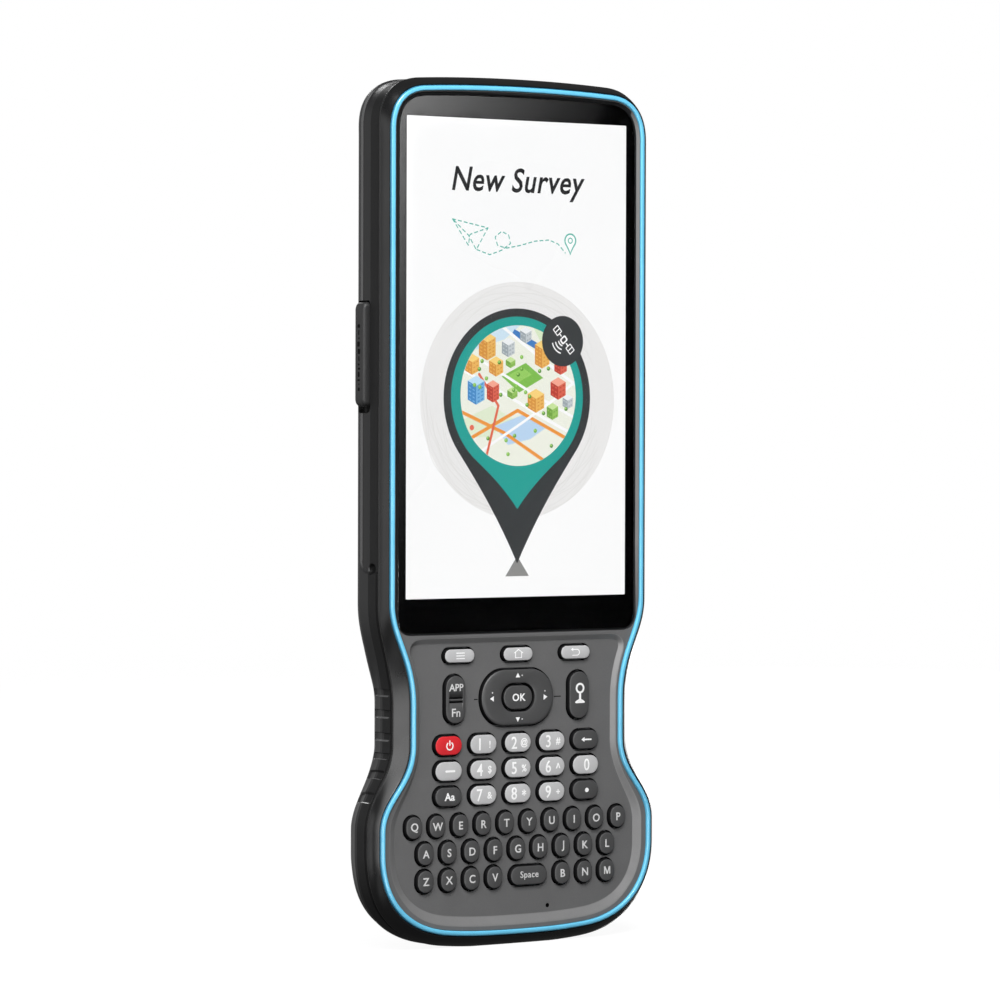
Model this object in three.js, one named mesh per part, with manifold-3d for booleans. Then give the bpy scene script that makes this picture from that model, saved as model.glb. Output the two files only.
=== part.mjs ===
// Handheld field data collector: a slim rugged computer with a tall display above a 49-key keypad.
// Millimetres, +Z up along the body (display end up), the display faces -Y, +X to the right of somebody facing it.
// The origin is on the flat rear face, at mid length and mid width.
import * as THREE from "three";
import { mergeVertices } from "three/addons/utils/BufferGeometryUtils.js";
import Module from "manifold-3d";

const wasm = await Module();
wasm.setup();

// ---------------------------------------------------------------- driving dimensions
const THICKNESS = 16.0; // crown of the trim ring to the rear face
const Z_SHIFT = 39.15; // height of the display's centre above the origin
const DISPLAY_W = 68.5, DISPLAY_H = 121.8; // active area
const RING_HALF_W = 0.6; // half width of the trim ring
const RING_DEPTH = 2.2;
const GAP = 0.2; // clearance between fixed parts
const FASCIA_T = 0.7; // depths below the ring's crown, front to back
const FASCIA_BACK_T = 3.2;
const DECK_T = 1.7; // floor of the keypad recess
const GLASS_T = 1.0, GLASS_BACK_T = 2.1;
const PANEL_T = 2.4, PANEL_BACK_T = 5.0;
const FRAME_T = 0.4, FRAME_EDGE_T = 3.5, FRAME_SPLIT_T = 4.3, FRAME_FLOOR_T = 5.3, FRAME_BACK_T = 6.3;
const HOUSING_T = 4.6, HOUSING_FULL_T = 12.4; // side wall keeps its full width between these
const TRAY_T = 9.0, TRAY_BACK_T = 10.0; // floor between the electronics and the battery bay
const WALL = 1.9; // side wall of the rear housing
const BOARD_T = 6.6, BOARD_BACK_T = 7.4, CHIP_T = 8.6;
const MAT_T = 4.25, MAT_BACK_T = 5.0, DOME_T = 4.0;
const KEY_TOP_T = 0.6, KEY_SHOULDER_T = 1.1, KEY_FOOT_T = 3.4; // 0.5 mm of travel
const KEY_CLEAR = 0.3; // all round each key in its hole
const NAV_FOOT_T = 3.25, NAV_PIVOT_T = 3.6, NAV_PIVOT_BACK_T = 3.9;
const BAY = { x: 31.0, top: 53.0, bottom: -35.0, r: 4 }; // battery bay opening
const CHANNEL = { t1: 11.4, end: -51.0, r: 3.3, depth: 0.45 }; // side channels: rear edge, lower end, corner radius
const PORT = { top: 14.0, bottom: -13.6, t0: 8.8, t1: 13.2, proud: 0.9, sunk: 1.1 };

// ---------------------------------------------------------------- small tools
const yOf = (t) => t - THICKNESS; // depth behind the ring's crown to the part's Y
const solid = (geometry) => {
  const g = geometry.index ? geometry.toNonIndexed() : geometry.clone();
  g.deleteAttribute("normal");
  g.deleteAttribute("uv");
  const m = mergeVertices(g, 1e-4);
  const made = new wasm.Manifold(
    new wasm.Mesh({
      numProp: 3,
      vertProperties: new Float32Array(m.attributes.position.array),
      triVerts: new Uint32Array(m.index.array),
    }),
  );
  return made;
};
const geometryOf = (s) => {
  const m = s.getMesh();
  const n = m.numProp;
  const v = new Float32Array(m.numVert * 3);
  for (let i = 0; i < m.numVert; i++) v.set(m.vertProperties.subarray(i * n, i * n + 3), i * 3);
  const g = new THREE.BufferGeometry();
  g.setAttribute("position", new THREE.BufferAttribute(v, 3));
  g.setIndex(new THREE.BufferAttribute(new Uint32Array(m.triVerts), 1));
  const flat = g.toNonIndexed();
  flat.computeVertexNormals();
  return flat;
};
// A straight prism of an outline [[x, z], ...] between two depths.
const prism = (pts, t0, t1) => {
  const shape = new THREE.Shape(pts.map(([x, z]) => new THREE.Vector2(x, z + Z_SHIFT)));
  const g = new THREE.ExtrudeGeometry(shape, { depth: t1 - t0, bevelEnabled: false, curveSegments: 1 });
  g.rotateX(Math.PI / 2);
  g.translate(0, yOf(t1), 0);
  return solid(g);
};
// A body that runs through outlines of equal point count, each at its own depth.
const loft = (levels) => {
  const n = levels[0].pts.length;
  const pos = [];
  for (const { pts, t } of levels) for (const [x, z] of pts) pos.push(x, yOf(t), z + Z_SHIFT);
  const idx = [];
  for (let l = 0; l + 1 < levels.length; l++)
    for (let i = 0; i < n; i++) {
      const a = l * n + i, b = l * n + ((i + 1) % n), c = a + n, d = b + n;
      idx.push(a, b, d, a, d, c);
    }
  const capOf = (l, flip) => {
    const contour = levels[l].pts.map(([x, z]) => new THREE.Vector2(x, z));
    for (const [a, b, c] of THREE.ShapeUtils.triangulateShape(contour, []))
      flip ? idx.push(l * n + a, l * n + c, l * n + b) : idx.push(l * n + a, l * n + b, l * n + c);
  };
  capOf(0, true);
  capOf(levels.length - 1, false);
  const build = (order) => {
    const g = new THREE.BufferGeometry();
    g.setAttribute("position", new THREE.Float32BufferAttribute(pos, 3));
    g.setIndex(order);
    return g;
  };
  let six = 0;
  for (let i = 0; i < idx.length; i += 3) {
    const [a, b, c] = [idx[i], idx[i + 1], idx[i + 2]].map((k) => new THREE.Vector3(pos[3 * k], pos[3 * k + 1], pos[3 * k + 2]));
    six += a.dot(b.cross(c));
  }
  if (six < 0) for (let i = 0; i < idx.length; i += 3) [idx[i + 1], idx[i + 2]] = [idx[i + 2], idx[i + 1]];
  return solid(build(idx));
};
const box = (x0, x1, t0, t1, z0, z1) => {
  const g = new THREE.BoxGeometry(x1 - x0, t1 - t0, z1 - z0);
  g.translate((x0 + x1) / 2, yOf((t0 + t1) / 2), (z0 + z1) / 2 + Z_SHIFT);
  return solid(g);
};
const moved = (pts, dx, dz) => pts.map(([x, z]) => [x + dx, z + dz]);
// Rounded rectangle, counter-clockwise, with `seg` steps to each corner.
const roundRect = (w, h, r, seg) => {
  const out = [];
  for (const [cx, cz, a0] of [[w / 2 - r, h / 2 - r, 0], [-w / 2 + r, h / 2 - r, 90], [-w / 2 + r, -h / 2 + r, 180], [w / 2 - r, -h / 2 + r, 270]])
    for (let i = 0; i <= seg; i++) {
      const a = ((a0 + (90 * i) / seg) * Math.PI) / 180;
      const p = [cx + r * Math.cos(a), cz + r * Math.sin(a)];
      const q = out[out.length - 1];
      if (!q || Math.hypot(q[0] - p[0], q[1] - p[1]) > 1e-3) out.push(p);
    }
  const f = out[0], e = out[out.length - 1];
  if (Math.hypot(f[0] - e[0], f[1] - e[1]) < 1e-3) out.pop();
  return out;
};
const smooth = (a, b, v) => {
  const s = Math.min(1, Math.max(0, (v - a) / (b - a)));
  return s * s * (3 - 2 * s);
};

// ---------------------------------------------------------------- body outline
// Centreline of the trim ring, right half from the top down: [curve, steps].
const V = (x, z) => new THREE.Vector2(x, z);
const half = [
  [new THREE.CubicBezierCurve(V(0, 68.75), V(10, 68.75), V(20, 68.5), V(29.5, 67.9)), 3],
  [new THREE.CubicBezierCurve(V(29.5, 67.9), V(35, 67.4), V(38.95, 64.2), V(38.95, 57)), 5],
  [new THREE.LineCurve(V(38.95, 57), V(38.95, -62)), 1],
  [new THREE.CubicBezierCurve(V(38.95, -62), V(38.95, -70.5), V(32.4, -75.5), V(32.4, -88)), 6],
  [new THREE.LineCurve(V(32.4, -88), V(32.4, -98)), 1],
  [new THREE.CubicBezierCurve(V(32.4, -98), V(32.4, -108), V(41.6, -111), V(41.6, -119.5)), 6],
  [new THREE.LineCurve(V(41.6, -119.5), V(41.6, -125)), 1],
  [new THREE.CubicBezierCurve(V(41.6, -125), V(41.6, -136.5), V(34.5, -144.2), V(22, -145.7)), 6],
  [new THREE.CubicBezierCurve(V(22, -145.7), V(15, -146.5), V(8, -146.6), V(0, -146.6)), 2],
];
const right = [];
half.forEach(([curve, steps], k) => {
  for (let i = k ? 1 : 0; i <= steps; i++) {
    const p = curve.getPoint(i / steps), d = curve.getTangent(i / steps);
    right.push({ x: p.x, z: p.y, nx: -d.y, nz: d.x });
  }
});
// The outward normal of a curve walked clockwise from the top is to its left: [-dz, dx].
const centre = [...right.slice().reverse(), ...right.slice(1, -1).map((p) => ({ x: -p.x, z: p.z, nx: -p.nx, nz: p.nz }))];
centre[0].nx = 0;
const edgeMargin = (z) => // ring centreline to the outside of the body
  2.05 + 0.75 * smooth(56, 67, z) + 1.65 * smooth(-60, -76, z) - 1.1 * smooth(-101, -117, z) + 0.6 * smooth(-128, -142, z);
const ringAt = (d) => centre.map((p) => [p.x + p.nx * d, p.z + p.nz * d]);
const bodyAt = (d) => centre.map((p) => { const m = edgeMargin(p.z) + d; return [p.x + p.nx * m, p.z + p.nz * m]; });

// ---------------------------------------------------------------- keypad layout: name, x, z, width, height, corner radius
const KEY_ROWS = [];
const pill = (name, x, z, w, h) => KEY_ROWS.push({ name, x, z, w, h, r: Math.min(w, h) / 2 - 0.02, seg: 3 });
pill("key_menu", -18.1, -75.5, 9.4, 3.7);
pill("key_home", 0, -75.5, 9.4, 3.7);
pill("key_back", 18.1, -75.5, 9.4, 3.7);
pill("key_ok", 0, -86.6, 9.2, 6.4);
pill("key_measure", 19.3, -86.6, 6.4, 12.4);
const COLUMNS = [-21.4, -10.7, 0, 10.7, 21.4];
const NUMBERS = [
  ["key_power", "key_1", "key_2", "key_3", "key_backspace"],
  ["key_minus", "key_4", "key_5", "key_6", "key_0"],
  ["key_shift", "key_7", "key_8", "key_9", "key_dot"],
];
NUMBERS.forEach((row, i) => row.forEach((name, j) => pill(name, COLUMNS[j], -98.2 - 6.5 * i, 8.4, 5.1)));
const LETTER_PITCH = 7.08;
const LETTERS = [["qwertyuiop", -4.5, -118.6], ["asdfghjkl", -4, -125.4], ["zxcv", -4, -132.4], ["bnm", 2, -132.4]];
for (const [row, start, z] of LETTERS)
  [...row].forEach((c, i) => KEY_ROWS.push({ name: "key_" + c, x: (start + i) * LETTER_PITCH, z, w: 5.1, h: 5.9, r: 2.5, seg: 2 }));
pill("key_space", 3.6, -132.4, 11.6, 5.1);
const APP_FN = { x: -19.3, z: -86.6, w: 6.2, h: 12.4 };
const NAV = { x: 0, z: -86.6, w: 22.6, h: 14.4, r: 7.1, holeW: 9.9, holeH: 7.1 };
const keyOutline = (k, grow) => moved(roundRect(k.w + 2 * grow, k.h + 2 * grow, k.r + grow, k.seg), k.x, k.z);

// ---------------------------------------------------------------- finishes
const finish = (color, roughness, metalness = 0) => ({ color, roughness, metalness });
const BLACK = finish(0x242426, 0.55), GREY = finish(0x626264, 0.5), BLUE = finish(0x5ec2ec, 0.35),
  RUBBER = finish(0x2c2c2e, 0.8), GLASS = finish(0x08080a, 0.06), PANEL = finish(0xe9eef0, 0.3),
  DARK_KEY = finish(0x474748, 0.5), SILVER_KEY = finish(0xb4b4b5, 0.4), RED_KEY = finish(0xcf2a30, 0.4),
  SILICONE = finish(0x9a9ca0, 0.7), BOARD = finish(0x1f6a45, 0.55);
const group = new THREE.Group();
group.name = "data_collector";
const add = (name, s, f, parent = group) => {
  const mesh = new THREE.Mesh(geometryOf(s), new THREE.MeshStandardMaterial(f));
  mesh.name = name;
  parent.add(mesh);
  return mesh;
};

// ---------------------------------------------------------------- front: trim ring, fascia, glass, display
add("trim_ring",
  loft([{ pts: ringAt(RING_HALF_W), t: RING_DEPTH }, { pts: ringAt(RING_HALF_W), t: 0.35 }, { pts: ringAt(RING_HALF_W - 0.3), t: 0 }])
    .subtract(prism(ringAt(-RING_HALF_W), -1, RING_DEPTH + 1)),
  BLUE);

// Keypad recess: a floor outline and a wider one at the fascia's face, joined by the bevel.
const recess = (grow) => {
  const side = right.filter((p) => p.z < -76).map((p) => {
    const d = grow
      ? 1.5 + 0.9 * smooth(-102, -117, p.z)
      : 2.6 + 1.9 * smooth(-102, -117, p.z) + 1.0 * smooth(-130, -143, p.z);
    return [p.x - p.nx * d, p.z - p.nz * d];
  });
  side[side.length - 1][0] = 0;
  const top = grow ? [[29.6, -71.2], [32.4, -71.9], [33.7, -74.1]] : [[29.0, -72.2], [31.2, -72.8], [32.2, -74.6]];
  const r = [...top, ...side];
  return [...r.slice().reverse(), ...r.slice(0, -1).map(([x, z]) => [-x, z])];
};
const slope = 0.2 / (DECK_T - FASCIA_T); // carries the bevel just past the fascia's face, so the cut is clean
const floorLine = recess(false), faceLine = recess(true);
const overLine = faceLine.map(([x, z], i) => [x + (x - floorLine[i][0]) * slope, z + (z - floorLine[i][1]) * slope]);
const glassLine = (grow) => {
  const half2 = [
    [new THREE.QuadraticBezierCurve(V(0, 67.2 + grow), V(18, 67.15 + grow), V(29.0, 66.6 + grow)), 2],
    [new THREE.CubicBezierCurve(V(29.0, 66.6 + grow), V(34.5 + grow, 66.1 + grow), V(37.2 + grow, 63.0), V(37.2 + grow, 57)), 4],
    [new THREE.LineCurve(V(37.2 + grow, 57), V(37.2 + grow, -65.6)), 1],
    [new THREE.CubicBezierCurve(V(37.2 + grow, -65.6), V(37.2 + grow, -68.6 - grow), V(35.6, -70.0 - grow), V(32.8, -70.0 - grow)), 3],
    [new THREE.LineCurve(V(32.8, -70.0 - grow), V(0, -70.0 - grow)), 1],
  ];
  const r = [];
  half2.forEach(([curve, steps], k) => { for (let i = k ? 1 : 0; i <= steps; i++) { const p = curve.getPoint(i / steps); r.push([p.x, p.y]); } });
  return [...r.slice().reverse(), ...r.slice(1, -1).map(([x, z]) => [-x, z])];
};
let fascia = loft([{ pts: ringAt(-RING_HALF_W - GAP), t: RING_DEPTH + 0.3 }, { pts: ringAt(-RING_HALF_W - GAP), t: FASCIA_T }])
  .add(prism(ringAt(RING_HALF_W - 0.05), RING_DEPTH + 0.25, FASCIA_BACK_T))
  .subtract(loft([{ pts: floorLine, t: DECK_T }, { pts: overLine, t: FASCIA_T - 0.2 }]))
  .subtract(prism(glassLine(GAP), -1, PANEL_T - 0.1))
  .subtract(prism(glassLine(-1.1), 0, FASCIA_BACK_T + 1));
for (const k of KEY_ROWS) if (k.name !== "key_ok") fascia = fascia.subtract(prism(keyOutline(k, KEY_CLEAR), 0, FASCIA_BACK_T + 1));
fascia = fascia
  .subtract(prism(moved(roundRect(APP_FN.w + 2 * KEY_CLEAR, APP_FN.h + 2 * KEY_CLEAR, 3.3, 3), APP_FN.x, APP_FN.z), 0, FASCIA_BACK_T + 1))
  .subtract(prism(moved(roundRect(NAV.w + 0.7, NAV.h + 0.7, 7.4, 4), NAV.x, NAV.z), 0, FASCIA_BACK_T + 1))
  .subtract(prism(moved(roundRect(1.0, 1.0, 0.45, 1), 10.1, -140.6), 0, FASCIA_BACK_T + 1)); // microphone hole
add("front_fascia", fascia, GREY);
add("cover_glass", loft([{ pts: glassLine(0), t: GLASS_BACK_T }, { pts: glassLine(0), t: GLASS_T + 0.25 }, { pts: glassLine(-0.25), t: GLASS_T }]), GLASS);
add("display_panel",
  prism(moved(roundRect(DISPLAY_W + 2.4, DISPLAY_H + 2.8, 2.2, 2), 0, -1.3), PANEL_T, PANEL_BACK_T)
    .subtract(box(-30, 30, PANEL_BACK_T - 0.8, PANEL_BACK_T + 1, -56, 56)), // pressed back plate is hollow inside its rim
  PANEL);

// ---------------------------------------------------------------- mid frame
let frame = loft([
  { pts: bodyAt(0), t: FRAME_SPLIT_T }, { pts: bodyAt(0), t: FRAME_EDGE_T }, { pts: ringAt(RING_HALF_W + GAP + 0.25), t: FRAME_T },
]);
frame = frame
  .add(prism(bodyAt(-WALL - 0.35), FRAME_SPLIT_T - 0.3, FRAME_BACK_T))
  .subtract(prism(ringAt(RING_HALF_W + GAP), -1, FASCIA_BACK_T + 0.2))
  .subtract(prism(ringAt(RING_HALF_W - 2.0), 2, FRAME_FLOOR_T)) // pocket for the display and the key mat
  .subtract(box(-14, 14, 3, 8, -67.6, -64.6)) // slot for the display's ribbon
  .subtract(box(-12, 12, 3, 8, -141.0, -138.4)); // slot for the keypad's ribbon
add("mid_frame", frame, BLACK);

// ---------------------------------------------------------------- rear housing
let housing = loft([
  { pts: bodyAt(-4.6), t: THICKNESS }, { pts: bodyAt(-2.5), t: 15.35 }, { pts: bodyAt(-0.9), t: 14.1 },
  { pts: bodyAt(0), t: HOUSING_FULL_T }, { pts: bodyAt(0), t: HOUSING_T },
]);
const cavity = bodyAt(-WALL);
housing = housing.subtract(prism(cavity, HOUSING_T - 1, TRAY_T));
// deeper cavities beside the battery bay and behind the keypad
for (const s of [-1, 1]) housing = housing.subtract(box(Math.min(s * 32.6, s * 38.6), Math.max(s * 32.6, s * 38.6), TRAY_T - 0.5, 13.0, -56, 55));
const lower = right.filter((p) => p.z < -75).map((p) => [Math.max(0, p.x - p.nx * 1.6), p.z - p.nz * 1.6]);
lower[lower.length - 1][0] = 0;
housing = housing.subtract(prism([...lower.slice().reverse(), [30, -62], [-30, -62], ...lower.slice(0, -1).map(([x, z]) => [-x, z])], TRAY_T - 0.5, 13.6));
// battery bay, open at the back
housing = housing.subtract(prism(moved(roundRect(2 * BAY.x, BAY.top - BAY.bottom, BAY.r, 2), 0, (BAY.top + BAY.bottom) / 2), TRAY_BACK_T, THICKNESS + 1));
housing = housing.subtract(box(-9, 9, TRAY_T - 1, TRAY_BACK_T + 1, BAY.bottom + 2.2, BAY.bottom + 4.6)); // battery contacts reach through the tray
// long shallow side channels, open towards the mid frame and round at their lower end
for (const s of [-1, 1]) {
  const channel = new THREE.Shape();
  channel.moveTo(-4.0, 80);
  channel.lineTo(-4.0, CHANNEL.end);
  channel.lineTo(-CHANNEL.t1 + CHANNEL.r, CHANNEL.end);
  channel.absarc(-CHANNEL.t1 + CHANNEL.r, CHANNEL.end + CHANNEL.r, CHANNEL.r, -Math.PI / 2, -Math.PI, true);
  channel.lineTo(-CHANNEL.t1, 80);
  const g = new THREE.ExtrudeGeometry(channel, { depth: 3, bevelEnabled: false, curveSegments: 4 });
  // shape x is minus the depth, shape y the height, and the extrusion runs along X
  g.applyMatrix4(new THREE.Matrix4().makeBasis(new THREE.Vector3(0, -1, 0), new THREE.Vector3(0, 0, 1), new THREE.Vector3(-1, 0, 0)));
  g.translate(s > 0 ? 44 - CHANNEL.depth : -41 + CHANNEL.depth, -THICKNESS, Z_SHIFT);
  housing = housing.subtract(solid(g));
}
// port recess and the connector's opening on the left side
housing = housing
  .subtract(box(-45, -41.0 + PORT.sunk + 0.25, PORT.t0 - 0.25, PORT.t1 + 0.25, PORT.bottom - 0.3, PORT.top + 0.3))
  .subtract(box(-45, -37, 9.4, 12.6, -4.7, 4.7));
// stepped finger ribs at the waist
const arcPoint = (z) => {
  for (let i = 0; i + 1 < right.length; i++) {
    const a = right[i], b = right[i + 1];
    if (a.z >= z && z >= b.z && a.z > b.z) {
      const u = (a.z - z) / (a.z - b.z), l = (k) => a[k] + (b[k] - a[k]) * u;
      return { x: l("x"), z: l("z"), nx: l("nx"), nz: l("nz") };
    }
  }
  throw new Error("no outline at " + z);
};
for (const s of [-1, 1])
  for (const z of [-85.4, -91.2, -97.0, -102.8, -108.4, -113.6]) {
    const at = (zz, d) => { const p = arcPoint(zz), m = edgeMargin(p.z) - d; return [s * (p.x + p.nx * m), p.z + p.nz * m]; };
    const shallow = at(z, -0.35), deep = at(z + 2.4, 0.6), out = at(z + 2.4, -0.9);
    housing = housing.subtract(prism(s > 0 ? [shallow, out, deep] : [shallow, deep, out], HOUSING_T - 1, HOUSING_FULL_T + 0.5));
  }
add("rear_housing", housing, BLACK);

// ---------------------------------------------------------------- port cover: rubber flap, hinged at its upper end
add("port_cover",
  box(-41.0 - PORT.proud, -41.0 + PORT.sunk, PORT.t0, PORT.t1, PORT.bottom + 1.2, PORT.top)
    .add(box(-41.0 + PORT.sunk - 0.5, -38.3, 9.7, 12.3, -4.3, 4.3)) // plug that fills the connector's opening
    .subtract(box(-43, -41.0 - PORT.proud + 0.45, PORT.t0 - 1, PORT.t1 + 1, PORT.bottom + 1.2 - 1, PORT.bottom + 2.6)), // fingernail lip
  RUBBER);

// ---------------------------------------------------------------- battery pack with its outer shell
add("battery_pack",
  prism(moved(roundRect(2 * BAY.x - 0.6, BAY.top - BAY.bottom - 0.6, BAY.r - 0.3, 2), 0, (BAY.top + BAY.bottom) / 2), TRAY_BACK_T + 0.3, THICKNESS)
    .subtract(box(-8, 8, TRAY_BACK_T, TRAY_BACK_T + 0.9, BAY.bottom + 2.2, BAY.bottom + 4.6))
    .subtract(prism(moved(roundRect(20, 3.2, 1.5, 1), 0, BAY.top - 4.2), THICKNESS - 1.2, THICKNESS + 1)), // finger notch
  BLACK);

// ---------------------------------------------------------------- main board, one outline for the display and keypad ends
const boardLine = [
  [35.4, -60], [35.4, 60], [31.4, 64], [-31.4, 64], [-35.4, 60], [-35.4, -60], [-29.0, -70], [-29.0, -137], [29.0, -137], [29.0, -70],
];
let board = prism(boardLine, BOARD_T, BOARD_BACK_T);
for (const [x, z, w, h, t] of [[0, 20, 18, 18, CHIP_T], [-18, 34, 10, 14, 8.3], [17, 38, 12, 9, CHIP_T], [18, 4, 9, 9, 8.2], [-14, -22, 14, 20, CHIP_T], [14, -30, 16, 12, 8.4], [0, -31.6, 15, 2, CHIP_T], [0, -74, 24, 3, 8.2], [0, -100, 14, 14, 8.4]])
  board = board.add(box(x - w / 2, x + w / 2, BOARD_BACK_T - 0.3, t, z - h / 2, z + h / 2));
board = board.add(box(-36.9, -33.2, BOARD_BACK_T - 0.3, 12.5, -4.6, 4.6)).subtract(box(-40, -34.0, 9.8, 12.2, -4.1, 4.1)); // connector shell, open to the side
add("main_board", board, BOARD);

// ---------------------------------------------------------------- keys: each is a cap that slides through the fascia, over the mat
const keypad = new THREE.Group();
group.add(keypad);
const cap = (k) => loft([
  { pts: keyOutline(k, 0), t: KEY_FOOT_T }, { pts: keyOutline(k, 0), t: KEY_SHOULDER_T }, { pts: keyOutline(k, -0.45), t: KEY_TOP_T },
]);
const SILVER = new Set(["key_menu", "key_home", "key_back", "key_minus", ..."0123456789".split("").map((c) => "key_" + c)]);
for (const k of KEY_ROWS) add(k.name, cap(k), k.name === "key_power" ? RED_KEY : SILVER.has(k.name) ? SILVER_KEY : DARK_KEY, keypad);
const appFn = (g) => moved(roundRect(APP_FN.w + 2 * g, APP_FN.h + 2 * g, 3.05 + g, 3), APP_FN.x, APP_FN.z);
add("app_fn_rocker",
  loft([{ pts: appFn(0), t: NAV_FOOT_T }, { pts: appFn(0), t: KEY_SHOULDER_T }, { pts: appFn(-0.45), t: KEY_TOP_T }])
    .subtract(box(APP_FN.x - 2.4, APP_FN.x + 2.4, 0, KEY_TOP_T + 0.35, APP_FN.z + 0.35, APP_FN.z + 0.75))
    .subtract(box(APP_FN.x - 2.4, APP_FN.x + 2.4, 0, KEY_TOP_T + 0.35, APP_FN.z - 0.75, APP_FN.z - 0.35)),
  DARK_KEY, keypad);
const nav = (g) => moved(roundRect(NAV.w + 2 * g, NAV.h + 2 * g, NAV.r + g, 4), NAV.x, NAV.z);
add("nav_ring",
  loft([{ pts: nav(0), t: NAV_FOOT_T }, { pts: nav(0), t: KEY_SHOULDER_T }, { pts: nav(-0.5), t: KEY_TOP_T }])
    .subtract(prism(moved(roundRect(NAV.holeW, NAV.holeH, 3.5, 3), NAV.x, NAV.z), 0, 5)),
  DARK_KEY, keypad);
add("nav_pivot",
  prism(moved(roundRect(14.4, 10.4, 4.5, 2), NAV.x, NAV.z), NAV_PIVOT_T, NAV_PIVOT_BACK_T)
    .subtract(prism(moved(roundRect(10.8, 8.0, 3.6, 2), NAV.x, NAV.z), 0, 6)),
  SILICONE, keypad);

// ---------------------------------------------------------------- silicone mat with one dome under each key
const matLine = (() => {
  const side = right.filter((p) => p.z < -77).map((p) => [Math.max(0, p.x - p.nx * 2.2), p.z - p.nz * 2.2]);
  side[side.length - 1][0] = 0;
  const r = [[29.6, -72.6], ...side];
  return [...r.slice().reverse(), ...r.slice(0, -1).map(([x, z]) => [-x, z])];
})();
let mat = prism(matLine, MAT_T, MAT_BACK_T);
const dome = (x, z, r) => {
  const g = new THREE.CylinderGeometry(r * 0.8, r, MAT_T - DOME_T + 0.2, 6, 1);
  g.rotateX(Math.PI); // the narrow end faces the keys
  g.translate(x, yOf((DOME_T + MAT_T + 0.2) / 2), z + Z_SHIFT);
  return solid(g);
};
for (const k of KEY_ROWS) mat = mat.add(dome(k.x, k.z, k.h < 4 ? 1.2 : 1.7));
for (const [x, z] of [[APP_FN.x, APP_FN.z + 3.6], [APP_FN.x, APP_FN.z - 3.6], [NAV.x - 8.8, NAV.z], [NAV.x + 8.8, NAV.z]]) mat = mat.add(dome(x, z, 1.3));
add("keypad_mat", mat, SILICONE, keypad);

export default group;
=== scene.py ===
import bpy
import bmesh
import math
import random
import numpy as np
from mathutils import Matrix, Vector
from mathutils.geometry import tessellate_polygon


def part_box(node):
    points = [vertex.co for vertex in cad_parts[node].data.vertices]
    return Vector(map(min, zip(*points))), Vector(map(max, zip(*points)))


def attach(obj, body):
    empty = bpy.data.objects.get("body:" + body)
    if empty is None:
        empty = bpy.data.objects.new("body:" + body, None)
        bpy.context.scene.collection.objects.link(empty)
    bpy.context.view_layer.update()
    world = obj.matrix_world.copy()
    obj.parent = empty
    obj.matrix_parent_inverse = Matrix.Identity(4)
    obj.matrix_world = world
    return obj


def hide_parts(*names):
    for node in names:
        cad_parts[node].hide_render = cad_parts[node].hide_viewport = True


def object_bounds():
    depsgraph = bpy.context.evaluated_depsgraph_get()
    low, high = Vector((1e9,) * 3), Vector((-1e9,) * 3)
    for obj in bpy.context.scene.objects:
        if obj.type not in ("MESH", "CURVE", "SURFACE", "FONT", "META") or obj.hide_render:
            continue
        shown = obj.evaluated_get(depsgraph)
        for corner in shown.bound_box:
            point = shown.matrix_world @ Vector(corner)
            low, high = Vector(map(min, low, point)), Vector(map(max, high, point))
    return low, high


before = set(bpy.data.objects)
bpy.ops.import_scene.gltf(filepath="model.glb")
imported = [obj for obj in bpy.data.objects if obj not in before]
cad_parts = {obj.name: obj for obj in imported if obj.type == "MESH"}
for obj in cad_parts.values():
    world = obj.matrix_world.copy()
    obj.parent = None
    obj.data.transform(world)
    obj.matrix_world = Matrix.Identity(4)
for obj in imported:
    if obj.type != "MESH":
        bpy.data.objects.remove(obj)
CAD_LO, CAD_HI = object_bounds()
random.seed(7)

# ------------------------------------------------------------------ frame
# x: to the right of somebody facing the display, h: height from the display's centre, t: depth behind the
# crown of the trim ring, all in millimetres. The row frame is (x, t - 16, h + 39.15) in millimetres.
MM = 0.001
TH = -CAD_LO.y / MM
HS = (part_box("cover_glass")[0].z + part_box("cover_glass")[1].z) / 2 / MM + 1.4  # display centre above the origin
HS = round(HS, 2)


def P(x, h, t):
    return (x * MM, (t - TH) * MM, (h + HS) * MM)


def node_box(n):
    """(x, h, w, height, t front, t back) of a CAD node in millimetres."""
    lo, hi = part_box(n)
    return ((lo.x + hi.x) / 2 / MM, (lo.z + hi.z) / 2 / MM - HS, (hi.x - lo.x) / MM, (hi.z - lo.z) / MM,
            lo.y / MM + TH, hi.y / MM + TH)


def smooth(a, b, v):
    s = np.clip((np.asarray(v, float) - a) / (b - a), 0, 1)
    return s * s * (3 - 2 * s)


# ------------------------------------------------------------------ materials
def _mat(name):
    m = bpy.data.materials.new(name)
    m.use_nodes = True
    nt = m.node_tree
    return m, nt, nt.nodes["Principled BSDF"]


def _noise(nt, scale, detail=2.0, rough=0.5, vec=None):
    n = nt.nodes.new("ShaderNodeTexNoise")
    n.inputs["Scale"].default_value = scale
    n.inputs["Detail"].default_value = detail
    n.inputs["Roughness"].default_value = rough
    nt.links.new(vec, n.inputs["Vector"])
    return n.outputs["Fac"]


def _ramp(nt, fac, stops):
    r = nt.nodes.new("ShaderNodeValToRGB")
    el = r.color_ramp.elements
    while len(el) < len(stops):
        el.new(0.5)
    for e, (p, c) in zip(el, stops):
        e.position = p
        e.color = (*c, 1.0) if len(c) == 3 else c
    nt.links.new(fac, r.inputs["Fac"])
    return r.outputs["Color"]


def _range(nt, fac, lo, hi, a=0.3, b=0.7):
    r = nt.nodes.new("ShaderNodeMapRange")
    r.inputs["From Min"].default_value = a
    r.inputs["From Max"].default_value = b
    r.inputs["To Min"].default_value = lo
    r.inputs["To Max"].default_value = hi
    nt.links.new(fac, r.inputs["Value"])
    return r.outputs["Result"]


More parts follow.
